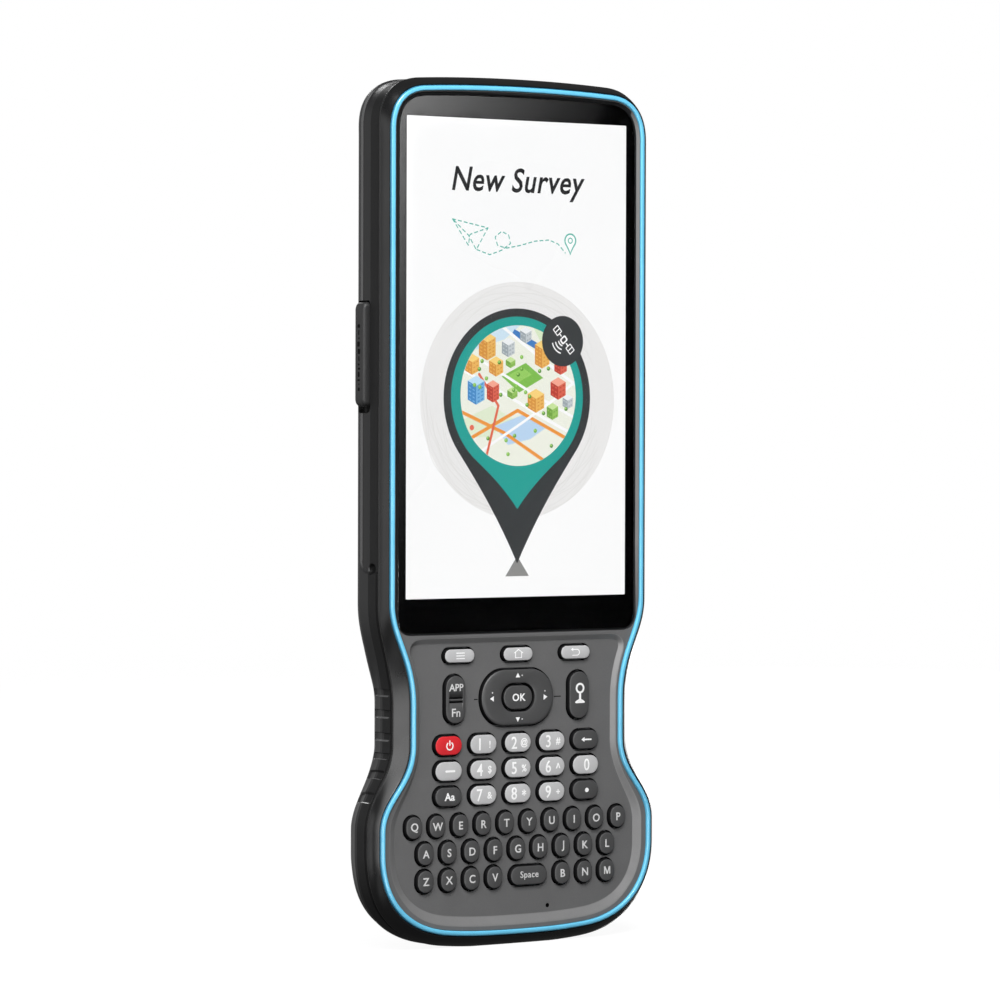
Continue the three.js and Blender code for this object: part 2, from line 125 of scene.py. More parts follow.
def moulded(name, color, rough, grain=5200.0, bump=0.12, depth=2.5e-5, vary=0.1, coat=0.0, spec=0.5, sheen=0.0, patch=160.0, smudge=0.05):
    """Moulded plastic or rubber: a fine spark-eroded grain, slow colour drift and slightly uneven gloss from handling."""
    m, nt, b = _mat(name)
    tc = nt.nodes.new("ShaderNodeTexCoord").outputs["Object"]
    c = np.array(color, float)
    slow = _noise(nt, patch, 3.0, 0.55, tc)
    fine = _noise(nt, grain, 2.0, 0.6, tc)
    base = _ramp(nt, slow, [(0.3, tuple(c * (1 - vary))), (0.55, tuple(c)), (0.75, tuple(np.minimum(c * (1 + vary), 1)))])
    speck = _ramp(nt, fine, [(0.3, (0.9, 0.9, 0.9)), (0.6, (1, 1, 1))])
    mix = nt.nodes.new("ShaderNodeMix")
    mix.data_type = "RGBA"
    mix.blend_type = "MULTIPLY"
    mix.inputs["Factor"].default_value = 1.0
    nt.links.new(base, mix.inputs[6])
    nt.links.new(speck, mix.inputs[7])
    nt.links.new(mix.outputs[2], b.inputs["Base Color"])
    gloss = _noise(nt, 70.0, 4.0, 0.6, tc)
    nt.links.new(_range(nt, gloss, max(0.02, rough - smudge), rough + smudge), b.inputs["Roughness"])
    bp = nt.nodes.new("ShaderNodeBump")
    bp.inputs["Strength"].default_value = bump
    bp.inputs["Distance"].default_value = depth
    nt.links.new(fine, bp.inputs["Height"])
    nt.links.new(bp.outputs["Normal"], b.inputs["Normal"])
    b.inputs["Specular IOR Level"].default_value = spec
    if coat:
        b.inputs["Coat Weight"].default_value = coat
        b.inputs["Coat Roughness"].default_value = 0.12
    if sheen:
        b.inputs["Sheen Weight"].default_value = sheen
        b.inputs["Sheen Roughness"].default_value = 0.4
    return m


M = {}
M["black"] = moulded("body_black", (0.012, 0.012, 0.0125), 0.40, bump=0.12, vary=0.05, smudge=0.02)
# painted shade: a darker, less shiny black for the channel beside the parting groove
M["black_painted_shade"] = moulded("channel_black_painted_shade", (0.007, 0.007, 0.0073), 0.55, bump=0.12, spec=0.3)
# painted highlight: a lighter black standing in for the light caught by the ribs' upper lips
M["rib_lip_highlight"] = moulded("body_black_painted_highlight", (0.075, 0.075, 0.076), 0.34, bump=0.08, vary=0.15)
# near-black used as painted shade in the parting groove, the pit and the port recess
M["groove"] = moulded("near_black_painted_shade", (0.004, 0.004, 0.0042), 0.6, bump=0.08, spec=0.15)
M["black_frame"] = moulded("frame_black", (0.0065, 0.0065, 0.0068), 0.30, bump=0.05, grain=6400.0)
M["rubber"] = moulded("grip_rubber", (0.017, 0.017, 0.0175), 0.52, grain=3600.0, bump=0.2, depth=3e-5, sheen=0.05)
M["fascia"] = moulded("fascia_grey", (0.118, 0.118, 0.119), 0.46, bump=0.12, vary=0.04)
# lighter copy of the fascia grey for the recess bevel: partly a lighter finish of its own, partly a painted highlight
M["fascia_bevel_tone_and_highlight"] = moulded("fascia_bevel_lighter_and_painted_highlight", (0.178, 0.178, 0.179), 0.38, bump=0.06, vary=0.04, grain=7000.0)
M["fascia_rim"] = moulded("fascia_rim", (0.125, 0.125, 0.126), 0.42, bump=0.06, vary=0.04)
# near-black rubber, also used as painted shade beside the glass
M["gasket_and_shade"] = moulded("gasket_black_and_painted_shade", (0.010, 0.010, 0.011), 0.5, bump=0.1, spec=0.3)
M["blue"] = moulded("trim_blue", (0.14, 0.54, 0.79), 0.24, grain=7000.0, bump=0.04, vary=0.05, coat=0.4)
# painted shade: a darker copy of the trim blue for the ring's outer roll-off
M["blue_shaded"] = moulded("trim_blue_painted_shade", (0.045, 0.22, 0.36), 0.3, grain=7000.0, bump=0.04, vary=0.05)
# near-black used as painted shade inside holes, slots and sockets, and as ink for the flap's marks
M["gap_shade_and_ink"] = moulded("gap_black_painted_shade_and_ink", (0.004, 0.004, 0.004), 0.8, spec=0.1)
M["key_side"] = moulded("key_side", (0.005, 0.005, 0.0055), 0.6, spec=0.12)
M["key_dark"] = moulded("key_dark", (0.062, 0.062, 0.063), 0.42, bump=0.1, vary=0.06)
M["key_silver"] = moulded("key_silver", (0.47, 0.47, 0.475), 0.42, bump=0.06, vary=0.04)
M["key_red"] = moulded("key_red", (0.62, 0.018, 0.026), 0.38, bump=0.06, vary=0.06)
M["legend"] = moulded("legend_white", (0.88, 0.88, 0.88), 0.45, bump=0.03, vary=0.02)
M["legend_soft"] = moulded("legend_grey", (0.62, 0.62, 0.62), 0.5, bump=0.03, vary=0.05)
M["mask"] = moulded("glass_border_ink", (0.0025, 0.0025, 0.003), 0.6, spec=0.0, bump=0.0)
M["silicone"] = moulded("silicone_grey", (0.30, 0.31, 0.32), 0.55, grain=2500.0, bump=0.1)
M["lens_ring"] = moulded("lens_ring", (0.10, 0.10, 0.105), 0.3, bump=0.05, coat=0.3)
M["screw_socket_shade"] = M["gap_shade_and_ink"]

def metal(name, color, rough, scale=(1.0, 1.0, 30.0), grain=900.0):
    m, nt, b = _mat(name)
    tc = nt.nodes.new("ShaderNodeTexCoord").outputs["Object"]
    mp = nt.nodes.new("ShaderNodeMapping")
    mp.inputs["Scale"].default_value = scale
    nt.links.new(tc, mp.inputs["Vector"])
    n = _noise(nt, grain, 3.0, 0.6, mp.outputs["Vector"])
    c = np.array(color, float)
    nt.links.new(_ramp(nt, n, [(0.3, tuple(c * 0.85)), (0.7, tuple(np.minimum(c * 1.1, 1)))]), b.inputs["Base Color"])
    nt.links.new(_range(nt, n, rough * 0.8, rough * 1.3), b.inputs["Roughness"])
    b.inputs["Metallic"].default_value = 1.0
    bp = nt.nodes.new("ShaderNodeBump")
    bp.inputs["Strength"].default_value = 0.1
    bp.inputs["Distance"].default_value = 1e-5
    nt.links.new(n, bp.inputs["Height"])
    nt.links.new(bp.outputs["Normal"], b.inputs["Normal"])
    return m


M["screw"] = metal("screw_steel", (0.20, 0.20, 0.21), 0.32)
M["gold"] = metal("contact_gold", (0.83, 0.58, 0.22), 0.25)
M["steel"] = metal("panel_steel", (0.55, 0.56, 0.57), 0.3)


def glass():
    m, nt, b = _mat("cover_glass")
    tc = nt.nodes.new("ShaderNodeTexCoord").outputs["Object"]
    n = _noise(nt, 55.0, 4.0, 0.65, tc)  # faint wipe marks
    nt.links.new(_range(nt, n, 0.015, 0.04), b.inputs["Roughness"])
    b.inputs["Base Color"].default_value = (1, 1, 1, 1)
    b.inputs["Transmission Weight"].default_value = 1.0
    b.inputs["IOR"].default_value = 1.5
    return m


M["glass"] = glass()


def lens():
    m, nt, b = _mat("lens_glass")
    tc = nt.nodes.new("ShaderNodeTexCoord").outputs["Object"]
    n = _noise(nt, 300.0, 2.0, 0.5, tc)
    nt.links.new(_ramp(nt, n, [(0.35, (0.004, 0.005, 0.012)), (0.65, (0.012, 0.010, 0.022))]), b.inputs["Base Color"])
    nt.links.new(_range(nt, n, 0.03, 0.06), b.inputs["Roughness"])
    b.inputs["Coat Weight"].default_value = 1.0
    return m


M["lens"] = lens()


def screen():
    """Lit page: the art's own colours, with the panel's slow unevenness and a fine sub-pixel grain."""
    m, nt, b = _mat("display_lit")
    tc = nt.nodes.new("ShaderNodeTexCoord").outputs["Object"]
    at = nt.nodes.new("ShaderNodeVertexColor")
    at.layer_name = "art"
    n = _noise(nt, 18.0, 2.0, 0.5, tc)
    drift = _ramp(nt, n, [(0.2, (0.975, 0.98, 0.985)), (0.8, (1, 1, 1))])
    mix = nt.nodes.new("ShaderNodeMix")
    mix.data_type = "RGBA"
    mix.blend_type = "MULTIPLY"
    mix.inputs["Factor"].default_value = 1.0
    nt.links.new(at.outputs["Color"], mix.inputs[6])
    nt.links.new(drift, mix.inputs[7])
    nt.links.new(mix.outputs[2], b.inputs["Emission Color"])
    b.inputs["Emission Strength"].default_value = 1.03
    b.inputs["Base Color"].default_value = (0.02, 0.02, 0.02, 1)
    nt.links.new(_range(nt, n, 0.25, 0.35), b.inputs["Roughness"])
    return m


M["screen"] = screen()


def pcb():
    m, nt, b = _mat("circuit_board")
    tc = nt.nodes.new("ShaderNodeTexCoord").outputs["Object"]
    v = nt.nodes.new("ShaderNodeTexVoronoi")
    v.inputs["Scale"].default_value = 420.0
    nt.links.new(tc, v.inputs["Vector"])
    nt.links.new(_ramp(nt, v.outputs["Distance"], [(0.05, (0.25, 0.20, 0.08)), (0.12, (0.015, 0.10, 0.045)), (0.8, (0.010, 0.07, 0.032))]), b.inputs["Base Color"])
    nt.links.new(_range(nt, v.outputs["Distance"], 0.3, 0.5, 0.0, 1.0), b.inputs["Roughness"])
    return m


M["pcb"] = pcb()


# ------------------------------------------------------------------ mesh code
class Build:
    """Collects closed shells as vertices and faces, in (x, h, t) millimetres."""

    def __init__(self):
        self.v, self.f, self.m, self.c = [], [], [], []

    def loop(self, pts, t=None):
        base = len(self.v)
        for p in pts:
            self.v.append((p[0], p[1], p[2] if t is None else t))
        return list(range(base, len(self.v)))

    def face(self, ids, mat=0, col=None):
        self.f.append(tuple(ids))
        self.m.append(mat)
        self.c.append(col)

    def bridge(self, a, b, mat=0):
        n = len(a)
        for i in range(n):
            j = (i + 1) % n
            self.face((a[i], a[j], b[j], b[i]), mat)

    def levels(self, loops, mats=0, cap0=True, cap1=True):
        """A body through the loops [(pts, t)], capped at its ends. mats is one index or one for each band."""
        ids = [self.loop(p, t) for p, t in loops]
        for k in range(len(ids) - 1):
            self.bridge(ids[k], ids[k + 1], mats if isinstance(mats, int) else mats[k])
        if cap0:
            self.face(ids[0], mats if isinstance(mats, int) else mats[0])
        if cap1:
            self.face(ids[-1][::-1], mats if isinstance(mats, int) else mats[-1])
        return ids

    def fill(self, outer, holes, mat=0, col=None):
        """A flat face between loops of vertex ids."""
        loops = [outer, *holes]
        flat = [i for l in loops for i in l]
        tris = tessellate_polygon([[Vector((self.v[i][0], self.v[i][1], 0)) for i in l] for l in loops])
        for t in tris:
            self.face([flat[i] for i in t], mat, col)

    def obj(self, name, mats, angle=32.0, merge=1e-4, recalc=True, tri=False):
        me = bpy.data.meshes.new(name)
        bm = bmesh.new()
        vs = [bm.verts.new(P(*p)) for p in self.v]
        bm.verts.ensure_lookup_table()
        lay = bm.loops.layers.float_color.new("art") if any(c is not None for c in self.c) else None
        for ids, k, col in zip(self.f, self.m, self.c):
            try:
                fa = bm.faces.new([vs[i] for i in ids])
            except ValueError:
                continue
            fa.material_index = k
            fa.smooth = True
            if lay is not None:
                for lp in fa.loops:
                    lp[lay] = (*(col or (1, 1, 1)), 1.0)
        if merge:
            bmesh.ops.remove_doubles(bm, verts=bm.verts[:], dist=merge * MM)
        if recalc:
            bmesh.ops.recalc_face_normals(bm, faces=bm.faces[:])
        lim = math.radians(angle)
        for e in bm.edges:
            if len(e.link_faces) == 2:
                e.smooth = e.calc_face_angle(0.0) < lim
        loose = [v for v in bm.verts if not v.link_faces]
        if loose:
            bmesh.ops.delete(bm, geom=loose, context="VERTS")
        bm.to_mesh(me)
        bm.free()
        for m in mats:
            me.materials.append(M[m] if isinstance(m, str) else m)
        o = bpy.data.objects.new(name, me)
        bpy.context.scene.collection.objects.link(o)
        return o


def rrect(w, h, r, seg, cx=0.0, ch=0.0):
    """Rounded rectangle with the same number of points whatever its size: 4 * (seg + 1)."""
    r = max(min(r, w / 2 - 1e-4, h / 2 - 1e-4), 1e-3)
    out = []
    for sx, sh, a0 in ((1, 1, 0), (-1, 1, 90), (-1, -1, 180), (1, -1, 270)):
        for i in range(seg + 1):
            a = math.radians(a0 + 90 * i / seg)
            out.append((cx + sx * (w / 2 - r) + r * math.cos(a), ch + sh * (h / 2 - r) + r * math.sin(a)))
    return out


def bez(p0, p1, p2, p3, n):
    u = np.linspace(0, 1, n + 1)[:, None]
    p0, p1, p2, p3 = map(np.array, (p0, p1, p2, p3))
    return p0 * (1 - u) ** 3 + 3 * p1 * u * (1 - u) ** 2 + 3 * p2 * u * u * (1 - u) + p3 * u ** 3


# Centreline of the trim ring, right half, from the top down.
_half = np.vstack([
    bez((0, 68.75), (10, 68.75), (20, 68.5), (29.5, 67.9), 300)[:-1],
    bez((29.5, 67.9), (35, 67.4), (38.95, 64.2), (38.95, 57), 300)[:-1],
    np.linspace((38.95, 57), (38.95, -62), 1200)[:-1],
    bez((38.95, -62), (38.95, -70.5), (32.4, -75.5), (32.4, -88), 500)[:-1],
    np.linspace((32.4, -88), (32.4, -98), 120)[:-1],
    bez((32.4, -98), (32.4, -108), (41.6, -111), (41.6, -119.5), 500)[:-1],
    np.linspace((41.6, -119.5), (41.6, -125), 60)[:-1],
    bez((41.6, -125), (41.6, -136.5), (34.5, -144.2), (22, -145.7), 500)[:-1],
    bez((22, -145.7), (15, -146.5), (8, -146.6), (0, -146.6), 300),
]).astype(float)


def outline(step):
    """Right half of the centreline sampled by arc length with spacing step(h): (points, outward normals)."""
    d = np.r_[0, np.cumsum(np.hypot(*np.diff(_half, axis=0).T))]
    s, at = 0.0, [0.0]
    while s < d[-1]:
        h = np.interp(s, d, _half[:, 1])
        x = np.interp(s, d, _half[:, 0])
        s += step(x, h)
        at.append(s)
    at = np.array(at) * d[-1] / at[-1]
    p = np.c_[np.interp(at, d, _half[:, 0]), np.interp(at, d, _half[:, 1])]
    a, b = np.clip(at - 0.35, 0, d[-1]), np.clip(at + 0.35, 0, d[-1])
    tan = np.c_[np.interp(b, d, _half[:, 0]) - np.interp(a, d, _half[:, 0]), np.interp(b, d, _half[:, 1]) - np.interp(a, d, _half[:, 1])]
    tan /= np.linalg.norm(tan, axis=1)[:, None]
    nrm = np.c_[-tan[:, 1], tan[:, 0]]
    nrm[0], nrm[-1] = (0, 1), (0, -1)
    p[0, 0] = p[-1, 0] = 0.0
    return p, nrm


def full(p, n):
    """Closed loop from a right half, anticlockwise from the bottom."""
    q, m = p[1:-1] * (-1, 1), n[1:-1] * (-1, 1)
    return np.vstack([p[::-1], q]), np.vstack([n[::-1], m])


def margin(h):
    return 2.05 + 0.75 * smooth(56, 67, h) + 2.1 * smooth(-62, -82, h) - 1.55 * smooth(-101, -117, h) + 0.9 * smooth(-128, -142, h)


hp, hn = outline(lambda x, h: 0.75)
C, N = full(hp, hn)


def ring_at(d):
    return C + N * d


def body_at(d):
    return C + N * (margin(C[:, 1]) + d)[:, None]


# ------------------------------------------------------------------ trim ring
def trim_ring():
    b = Build()
    # crisp on the inside, rolled off towards the outside (d grows outwards)
    prof = [(-0.66, 2.2), (-0.66, 0.34), (-0.64, 0.2), (-0.58, 0.1), (-0.48, 0.03), (-0.34, 0.0), (-0.1, 0.0), (0.12, 0.03), (0.3, 0.1), (0.45, 0.21), (0.56, 0.34), (0.63, 0.48), (0.66, 0.62), (0.66, 2.2)]
    ids = [b.loop(ring_at(d), t) for d, t in prof]
    for k in range(len(ids)):
        # painted shade: the ring's outer roll-off gets the darker blue
        b.bridge(ids[k], ids[(k + 1) % len(ids)], 1 if k in (9, 10, 11, 12) else 0)
    o = b.obj("trim_ring_moulded", ["blue", "blue_shaded"], angle=50)
    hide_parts("trim_ring")
    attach(o, "housing")


trim_ring()


# ------------------------------------------------------------------ glass outline
def glass_half(g, n=40):
    return np.vstack([
        bez((0, 67.2 + g), (9, 67.2 + g), (20, 67.1 + g), (29, 66.6 + g), n)[:-1],
        bez((29, 66.6 + g), (34.5 + g, 66.1 + g), (37.2 + g, 63), (37.2 + g, 57), n)[:-1],
        np.linspace((37.2 + g, 57), (37.2 + g, -65.6), 8)[:-1],
        bez((37.2 + g, -65.6), (37.2 + g, -68.6 - g), (35.6, -70 - g), (32.8, -70 - g), n // 2)[:-1],
        np.linspace((32.8, -70 - g), (0, -70 - g), 4),
    ])


def glass_line(g):
    r = glass_half(g)
    return np.vstack([r[::-1], r[1:-1] * (-1, 1)])


# ------------------------------------------------------------------ fascia
KEYS = [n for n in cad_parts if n.startswith("key_")]
HOLES = {}
for _n in KEYS:
    if _n not in ("key_ok",):
        _x, _h, _w, _hh, _, _ = node_box(_n)
        HOLES[_n] = (_x, _h, _w + 0.7, _hh + 0.7, min(_w, _hh) / 2 + 0.33)
_x, _h, _w, _hh, _, _ = node_box("app_fn_rocker")
HOLES["app_fn"] = (_x, _h, _w + 0.7, _hh + 0.7, 3.4)
_x, _h, _w, _hh, _, _ = node_box("nav_ring")
HOLES["nav"] = (_x, _h, _w + 0.7, _hh + 0.7, 7.4)
FACE_T, DECK_T, FBACK_T = 0.7, 1.7, 3.2


def recess_half(u):
    """Outline of the keypad recess: u 0 on the fascia's face, 1 on the deck."""
    p, n = outline(lambda x, h: 0.5)
    k = p[:, 1] < -76.0
    p, n = p[k], n[k]
    h = p[:, 1]
    d0 = 1.5 + 0.9 * smooth(-102, -117, h) - 0.45 * smooth(-138, -145, h)
    d1 = 2.6 + 1.8 * smooth(-102, -117, h) - 0.15 * smooth(-130, -143, h)
    d = d0 + (d1 - d0) * u
    side = p - n * d[:, None]
    side[-1, 0] = 0.0
    a, b = np.array([29.2, -71.0]), np.array([28.7, -72.4])
    start = a + (b - a) * u
    top = bez(start, start + (3.2, 0.0), side[0] - (side[1] - side[0]) / np.linalg.norm(side[1] - side[0]) * 3.0, side[0], 16)[:-1]
    line = np.linspace((0, start[1]), start, 16)[:-1]
    return np.vstack([line, top, side])


def recess(u):
    r = recess_half(u)
    return np.vstack([r[::-1], r[1:-1] * (-1, 1)])


G0 = -0.28  # the glass sits this much inside its nominal outline


def fascia():
    b = Build()
    # outside, from the flange under the ring up to the face
    outer = [(0.50, 3.2), (0.50, 2.5), (-0.78, 2.5), (-0.78, 0.95), (-0.81, 0.8), (-0.89, 0.72), (-0.98, 0.7), (-1.03, 0.7)]

    def raised(pts, t, rise):
        return [(x, h, t + rise * smooth(-64.5, -60.5, h)) for x, h in pts]
    ids = [b.loop(raised(ring_at(d + (0.09 if t < 1 else 0)), t, -0.2 if t < 0.9 else 0.0)) for d, t in outer]
    for k in range(len(ids) - 1):
        b.bridge(ids[k], ids[k + 1])
    face_outer = ids[-1]
    # window for the glass: lip, wall, ledge, opening
    win = [(0.40, 0.7), (0.34, 0.7), (0.22, 0.72), (0.15, 0.8), (0.12, 0.95), (0.12, 2.3), (-1.0, 2.3), (-1.0, 3.2)]
    gids = [b.loop(raised(glass_line(g + G0), t, max(0.0, 1.06 - t) if t < 1 else 0.0)) for g, t in win]
    # painted shade: the window's lip and walls take the near-black, darkening the edge beside the glass
    for k in range(len(gids) - 1):
        b.bridge(gids[k], gids[k + 1], 2)
    # keypad recess: rounded over at the face, straight bevel, rounded into the deck
    rc = [(-0.30, 0.70), (-0.20, 0.70), (-0.08, 0.71), (0.03, 0.76), (0.12, 0.84), (0.30, 1.02), (0.6, 1.32), (0.86, 1.57), (0.94, 1.655), (1.0, 1.69), (1.05, 1.70), (1.11, 1.70)]
    rids = [b.loop(recess(u), t) for u, t in rc]
    # the bevel gets the lighter grey: partly its own finish, partly a painted highlight for the light it catches
    for k in range(len(rids) - 1):
        b.bridge(rids[k], rids[k + 1], 3 if 2 <= k <= 8 else 0)
    # beside and above the glass the face is a narrow slope down to the glass
    oh = [b.v[i][1] for i in face_outer]
    gh = [b.v[i][1] for i in gids[0]]
    no, ng = len(oh), len(gh)

    def near(hs, lo, hi, at):
        return min(range(lo, hi), key=lambda i: abs(hs[i] - at))
    i1, i2 = near(oh, 0, no // 2, -66.2), near(oh, no // 2, no, -66.2)
    j1, j2 = near(gh, 0, ng // 2, -65.6), near(gh, ng // 2, ng, -65.6)
    i3, j3 = near(oh, 0, no // 2, 64.6), near(gh, 0, ng // 2, 63.6)
    # painted shade: the strip between ring and glass is near-black along the top and the left side, which face away
    # from the light; the right side stays grey
    b.fill(face_outer[i1:i3 + 1] + gids[0][j1:j3 + 1][::-1], [], 4)
    b.fill(face_outer[i3:i2 + 1] + gids[0][j3:j2 + 1][::-1], [], 2)
    b.fill(face_outer[i2:] + face_outer[:i1 + 1] + gids[0][:j1 + 1][::-1] + gids[0][j2:][::-1], [rids[0]], 0)
    # key holes with softened lips
    lips = [(0.19, 1.70), (0.13, 1.70), (0.06, 1.72), (0.015, 1.78), (0.0, 1.88), (0.0, 3.2)]
    tops, feet = [], []
    for n, (x, h, w, hh, r) in HOLES.items():
        seg = 10 if n != "nav" else 16
        hid = [b.loop(rrect(w + 2 * g, hh + 2 * g, r + g, seg, x, h), t) for g, t in lips]
        for k in range(len(hid) - 1):
            # painted shade: the inner walls of the key holes get the near-black
            b.bridge(hid[k], hid[k + 1], 1 if k >= 3 else 0)
        tops.append(hid[0])
        feet.append(hid[-1])
    mic = [b.loop(rrect(2 * g, 2 * g, g, 6, 10.1, -140.6), t) for g, t in ((0.80, 1.70), (0.68, 1.70), (0.56, 1.74), (0.5, 1.86), (0.5, 3.2))]
    for k in range(4):
        # painted shade: the mic hole's inner wall gets the near-black
        b.bridge(mic[k], mic[k + 1], 1 if k >= 2 else 0)
    b.fill(rids[-1], tops + [mic[0]])
    b.fill(ids[0], [gids[-1], *feet, mic[-1]])
    o = b.obj("fascia_moulded", ["fascia", "gap_shade_and_ink", "gasket_and_shade", "fascia_bevel_tone_and_highlight", "fascia_rim"], angle=30)
    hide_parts("front_fascia")
    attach(o, "housing")
    return o


fascia()


# ------------------------------------------------------------------ cover glass with its printed border
def cover_glass():
    b = Build()
    b.levels([(glass_line(G0), 1.5), (glass_line(G0), 1.12), (glass_line(G0 - 0.05), 1.04), (glass_line(G0 - 0.14), 1.0), (glass_line(G0 - 0.34), 1.0)], 0)
    for k, f in enumerate(b.f):  # the ground edge is blacked
        ts = [b.v[i][2] for i in f]
        if max(ts) > 1.001 and min(ts) < 1.4:
            b.m[k] = 1
    o = b.obj("cover_glass_slab", ["glass", "gasket_and_shade"], angle=30)
    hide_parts("cover_glass")
    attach(o, "housing")
    b = Build()
    w, h, r = 68.5, 121.8, 0.25
    a = b.loop(glass_line(G0 - 0.03), 1.56)
    i = b.loop(rrect(w, h, r, 4), 1.56)
    a2 = b.loop(glass_line(G0 - 0.03), 2.0)
    i2 = b.loop(rrect(w, h, r, 4), 2.0)
    b.fill(a, [i])
    b.fill(a2, [i2])
    b.bridge(a, a2)
    b.bridge(i, i2)
    o = b.obj("glass_border", ["mask"], angle=30)
    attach(o, "housing")


cover_glass()


# ------------------------------------------------------------------ display and its page
def circle(cx, ch, r, n=64, a0=0.0, a1=360.0):
    full_turn = abs(a1 - a0) >= 360
    k = n if full_turn else n + 1
    return [(cx + r * math.cos(math.radians(a0 + (a1 - a0) * i / n)), ch + r * math.sin(math.radians(a0 + (a1 - a0) * i / n))) for i in range(k)]


def pin_shape(cx, ch, r, tip, n=96):
    """Location pin: a circle whose sides run to a point, with slightly hollow flanks."""
    d = ch - tip
    a = math.degrees(math.acos(r / d)) * 0.93
    arc = circle(cx, ch, r, n, -90 + a, 270 - a)
    e, s = np.array(arc[-1]), np.array(arc[0])
    tp = np.array((cx, tip))
    left = [tuple(e + (tp - e) * k / 10 + np.array((1, 0)) * 0.9 * math.sin(math.pi * k / 10) * r / 23) for k in range(1, 10)]
    right = [tuple(tp + (s - tp) * k / 10 - np.array((1, 0)) * 0.9 * math.sin(math.pi * k / 10) * r / 23) for k in range(1, 10)]
    return arc + left + [(cx + 0.12, tip), (cx - 0.12, tip)][::-1] + right


def srgb(hexa):
    out = []
    for i in (0, 2, 4):
        c = int(hexa[i:i + 2], 16) / 255
        out.append(c / 12.92 if c <= 0.04045 else ((c + 0.055) / 1.055) ** 2.4)
    return tuple(out)


def stroke_poly(pts, w, closed=False):
    """Outline(s) of a line of width w: [outer] or [outer, inner]."""
    p = np.array(pts, float)
    n = len(p)
    out_l, out_r = [], []
    for i in range(n):
        if closed:
            a, c = p[(i - 1) % n], p[(i + 1) % n]
        else:
            a, c = p[max(i - 1, 0)], p[min(i + 1, n - 1)]
        d1 = p[i] - a
        d2 = c - p[i]
        if np.linalg.norm(d1) < 1e-9:
            d1 = d2
        if np.linalg.norm(d2) < 1e-9:
            d2 = d1
        d1, d2 = d1 / np.linalg.norm(d1), d2 / np.linalg.norm(d2)
        m = d1 + d2
        if np.linalg.norm(m) < 1e-6:
            m = d1
        m /= np.linalg.norm(m)
        nn = np.array((-m[1], m[0]))
        k = 1 / max(0.45, abs(nn @ np.array((-d1[1], d1[0]))))
        out_l.append(p[i] + nn * w / 2 * k)
        out_r.append(p[i] - nn * w / 2 * k)
    if closed:
        return out_l, out_r
    def capped(q, d):
        a = math.atan2(d[1], d[0])
        return [q + w / 2 * np.array((math.cos(a + t), math.sin(a + t))) for t in np.linspace(-math.pi / 2, math.pi / 2, 7)[1:-1]]
    e = p[-1] - p[-2]
    s = p[0] - p[1]
    return out_r + capped(p[-1], e) + out_l[::-1] + capped(p[0], s)


def clip_circle(poly, cx, ch, r):
    """The part of a polygon inside a circle, by clipping against its sides."""
    ring = circle(cx, ch, r, 72)
    out = [np.array(p, float) for p in poly]
    for i in range(len(ring)):
        a, b = np.array(ring[i]), np.array(ring[(i + 1) % len(ring)])
        n = np.array((-(b - a)[1], (b - a)[0]))
        src, out = out, []
        for j in range(len(src)):
            p, q = src[j], src[(j + 1) % len(src)]
            dp, dq = n @ (p - a), n @ (q - a)
            if dp >= 0:
                out.append(p)
            if (dp >= 0) != (dq >= 0):
                out.append(p + (q - p) * dp / (dp - dq))
        if not out:
            return []
    return out


def text_mesh(s, size, bold=0.0, spacing=1.0, shear=0.0, cell=0.5):
    """(vertices, faces) of a flat word, centred, cap height about 0.7 * size."""
    cu = bpy.data.curves.new("t", "FONT")
    cu.body = s if s != "M" else "I"
    cu.size = size
    cu.offset = bold
    cu.space_character = spacing
    cu.shear = shear
    cu.resolution_u = 4
    ob = bpy.data.objects.new("t", cu)
    bpy.context.scene.collection.objects.link(ob)
    bpy.context.view_layer.update()
    me = bpy.data.meshes.new_from_object(ob.evaluated_get(bpy.context.evaluated_depsgraph_get()))
    bm = bmesh.new()
    if s == "M":  # the font's own M folds over when it is made bolder
        cap = 0.69 * size
        m = [(0, 0), (.165, 0), (.165, .66), (.42, 0), (.58, 0), (.835, .66), (.835, 0), (1, 0), (1, 1), (.77, 1), (.5, .28), (.23, 1), (0, 1)]
        bm.faces.new([bm.verts.new((x * cap, y * cap, 0)) for x, y in m])
        bm.normal_update()
    else:
        bm.from_mesh(me)
    bmesh.ops.triangulate(bm, faces=bm.faces[:])
    for axis in (0, 1):
        lo = min(q.co[axis] for q in bm.verts)
        hi = max(q.co[axis] for q in bm.verts)
        k = lo + 0.45
        while k < hi and cell:
            co, no = [0, 0, 0], [0, 0, 0]
            co[axis], no[axis] = k, 1
            whole = sum(q.calc_area() for q in bm.faces)
            keep = bm.copy()
            bmesh.ops.bisect_plane(bm, geom=bm.verts[:] + bm.edges[:] + bm.faces[:], plane_co=co, plane_no=no, dist=1e-5)
            if abs(sum(q.calc_area() for q in bm.faces) - whole) > 1e-4 * whole:  # a cut along an edge went wrong
                bm.free()
                bm = keep
                k += 0.037
                continue
            keep.free()
            k += cell
    me.clear_geometry()
    bm.to_mesh(me)
    bm.free()
    v = [(q.co.x, q.co.y) for q in me.vertices]
    f = [tuple(q.vertices) for q in me.polygons]
    bpy.data.objects.remove(ob)
    bpy.data.curves.remove(cu)
    bpy.data.meshes.remove(me)
    a = np.array(v)
    mid = (a.min(0) + a.max(0)) / 2
    return [tuple(p - mid) for p in a], f, tuple(a.max(0) - a.min(0))


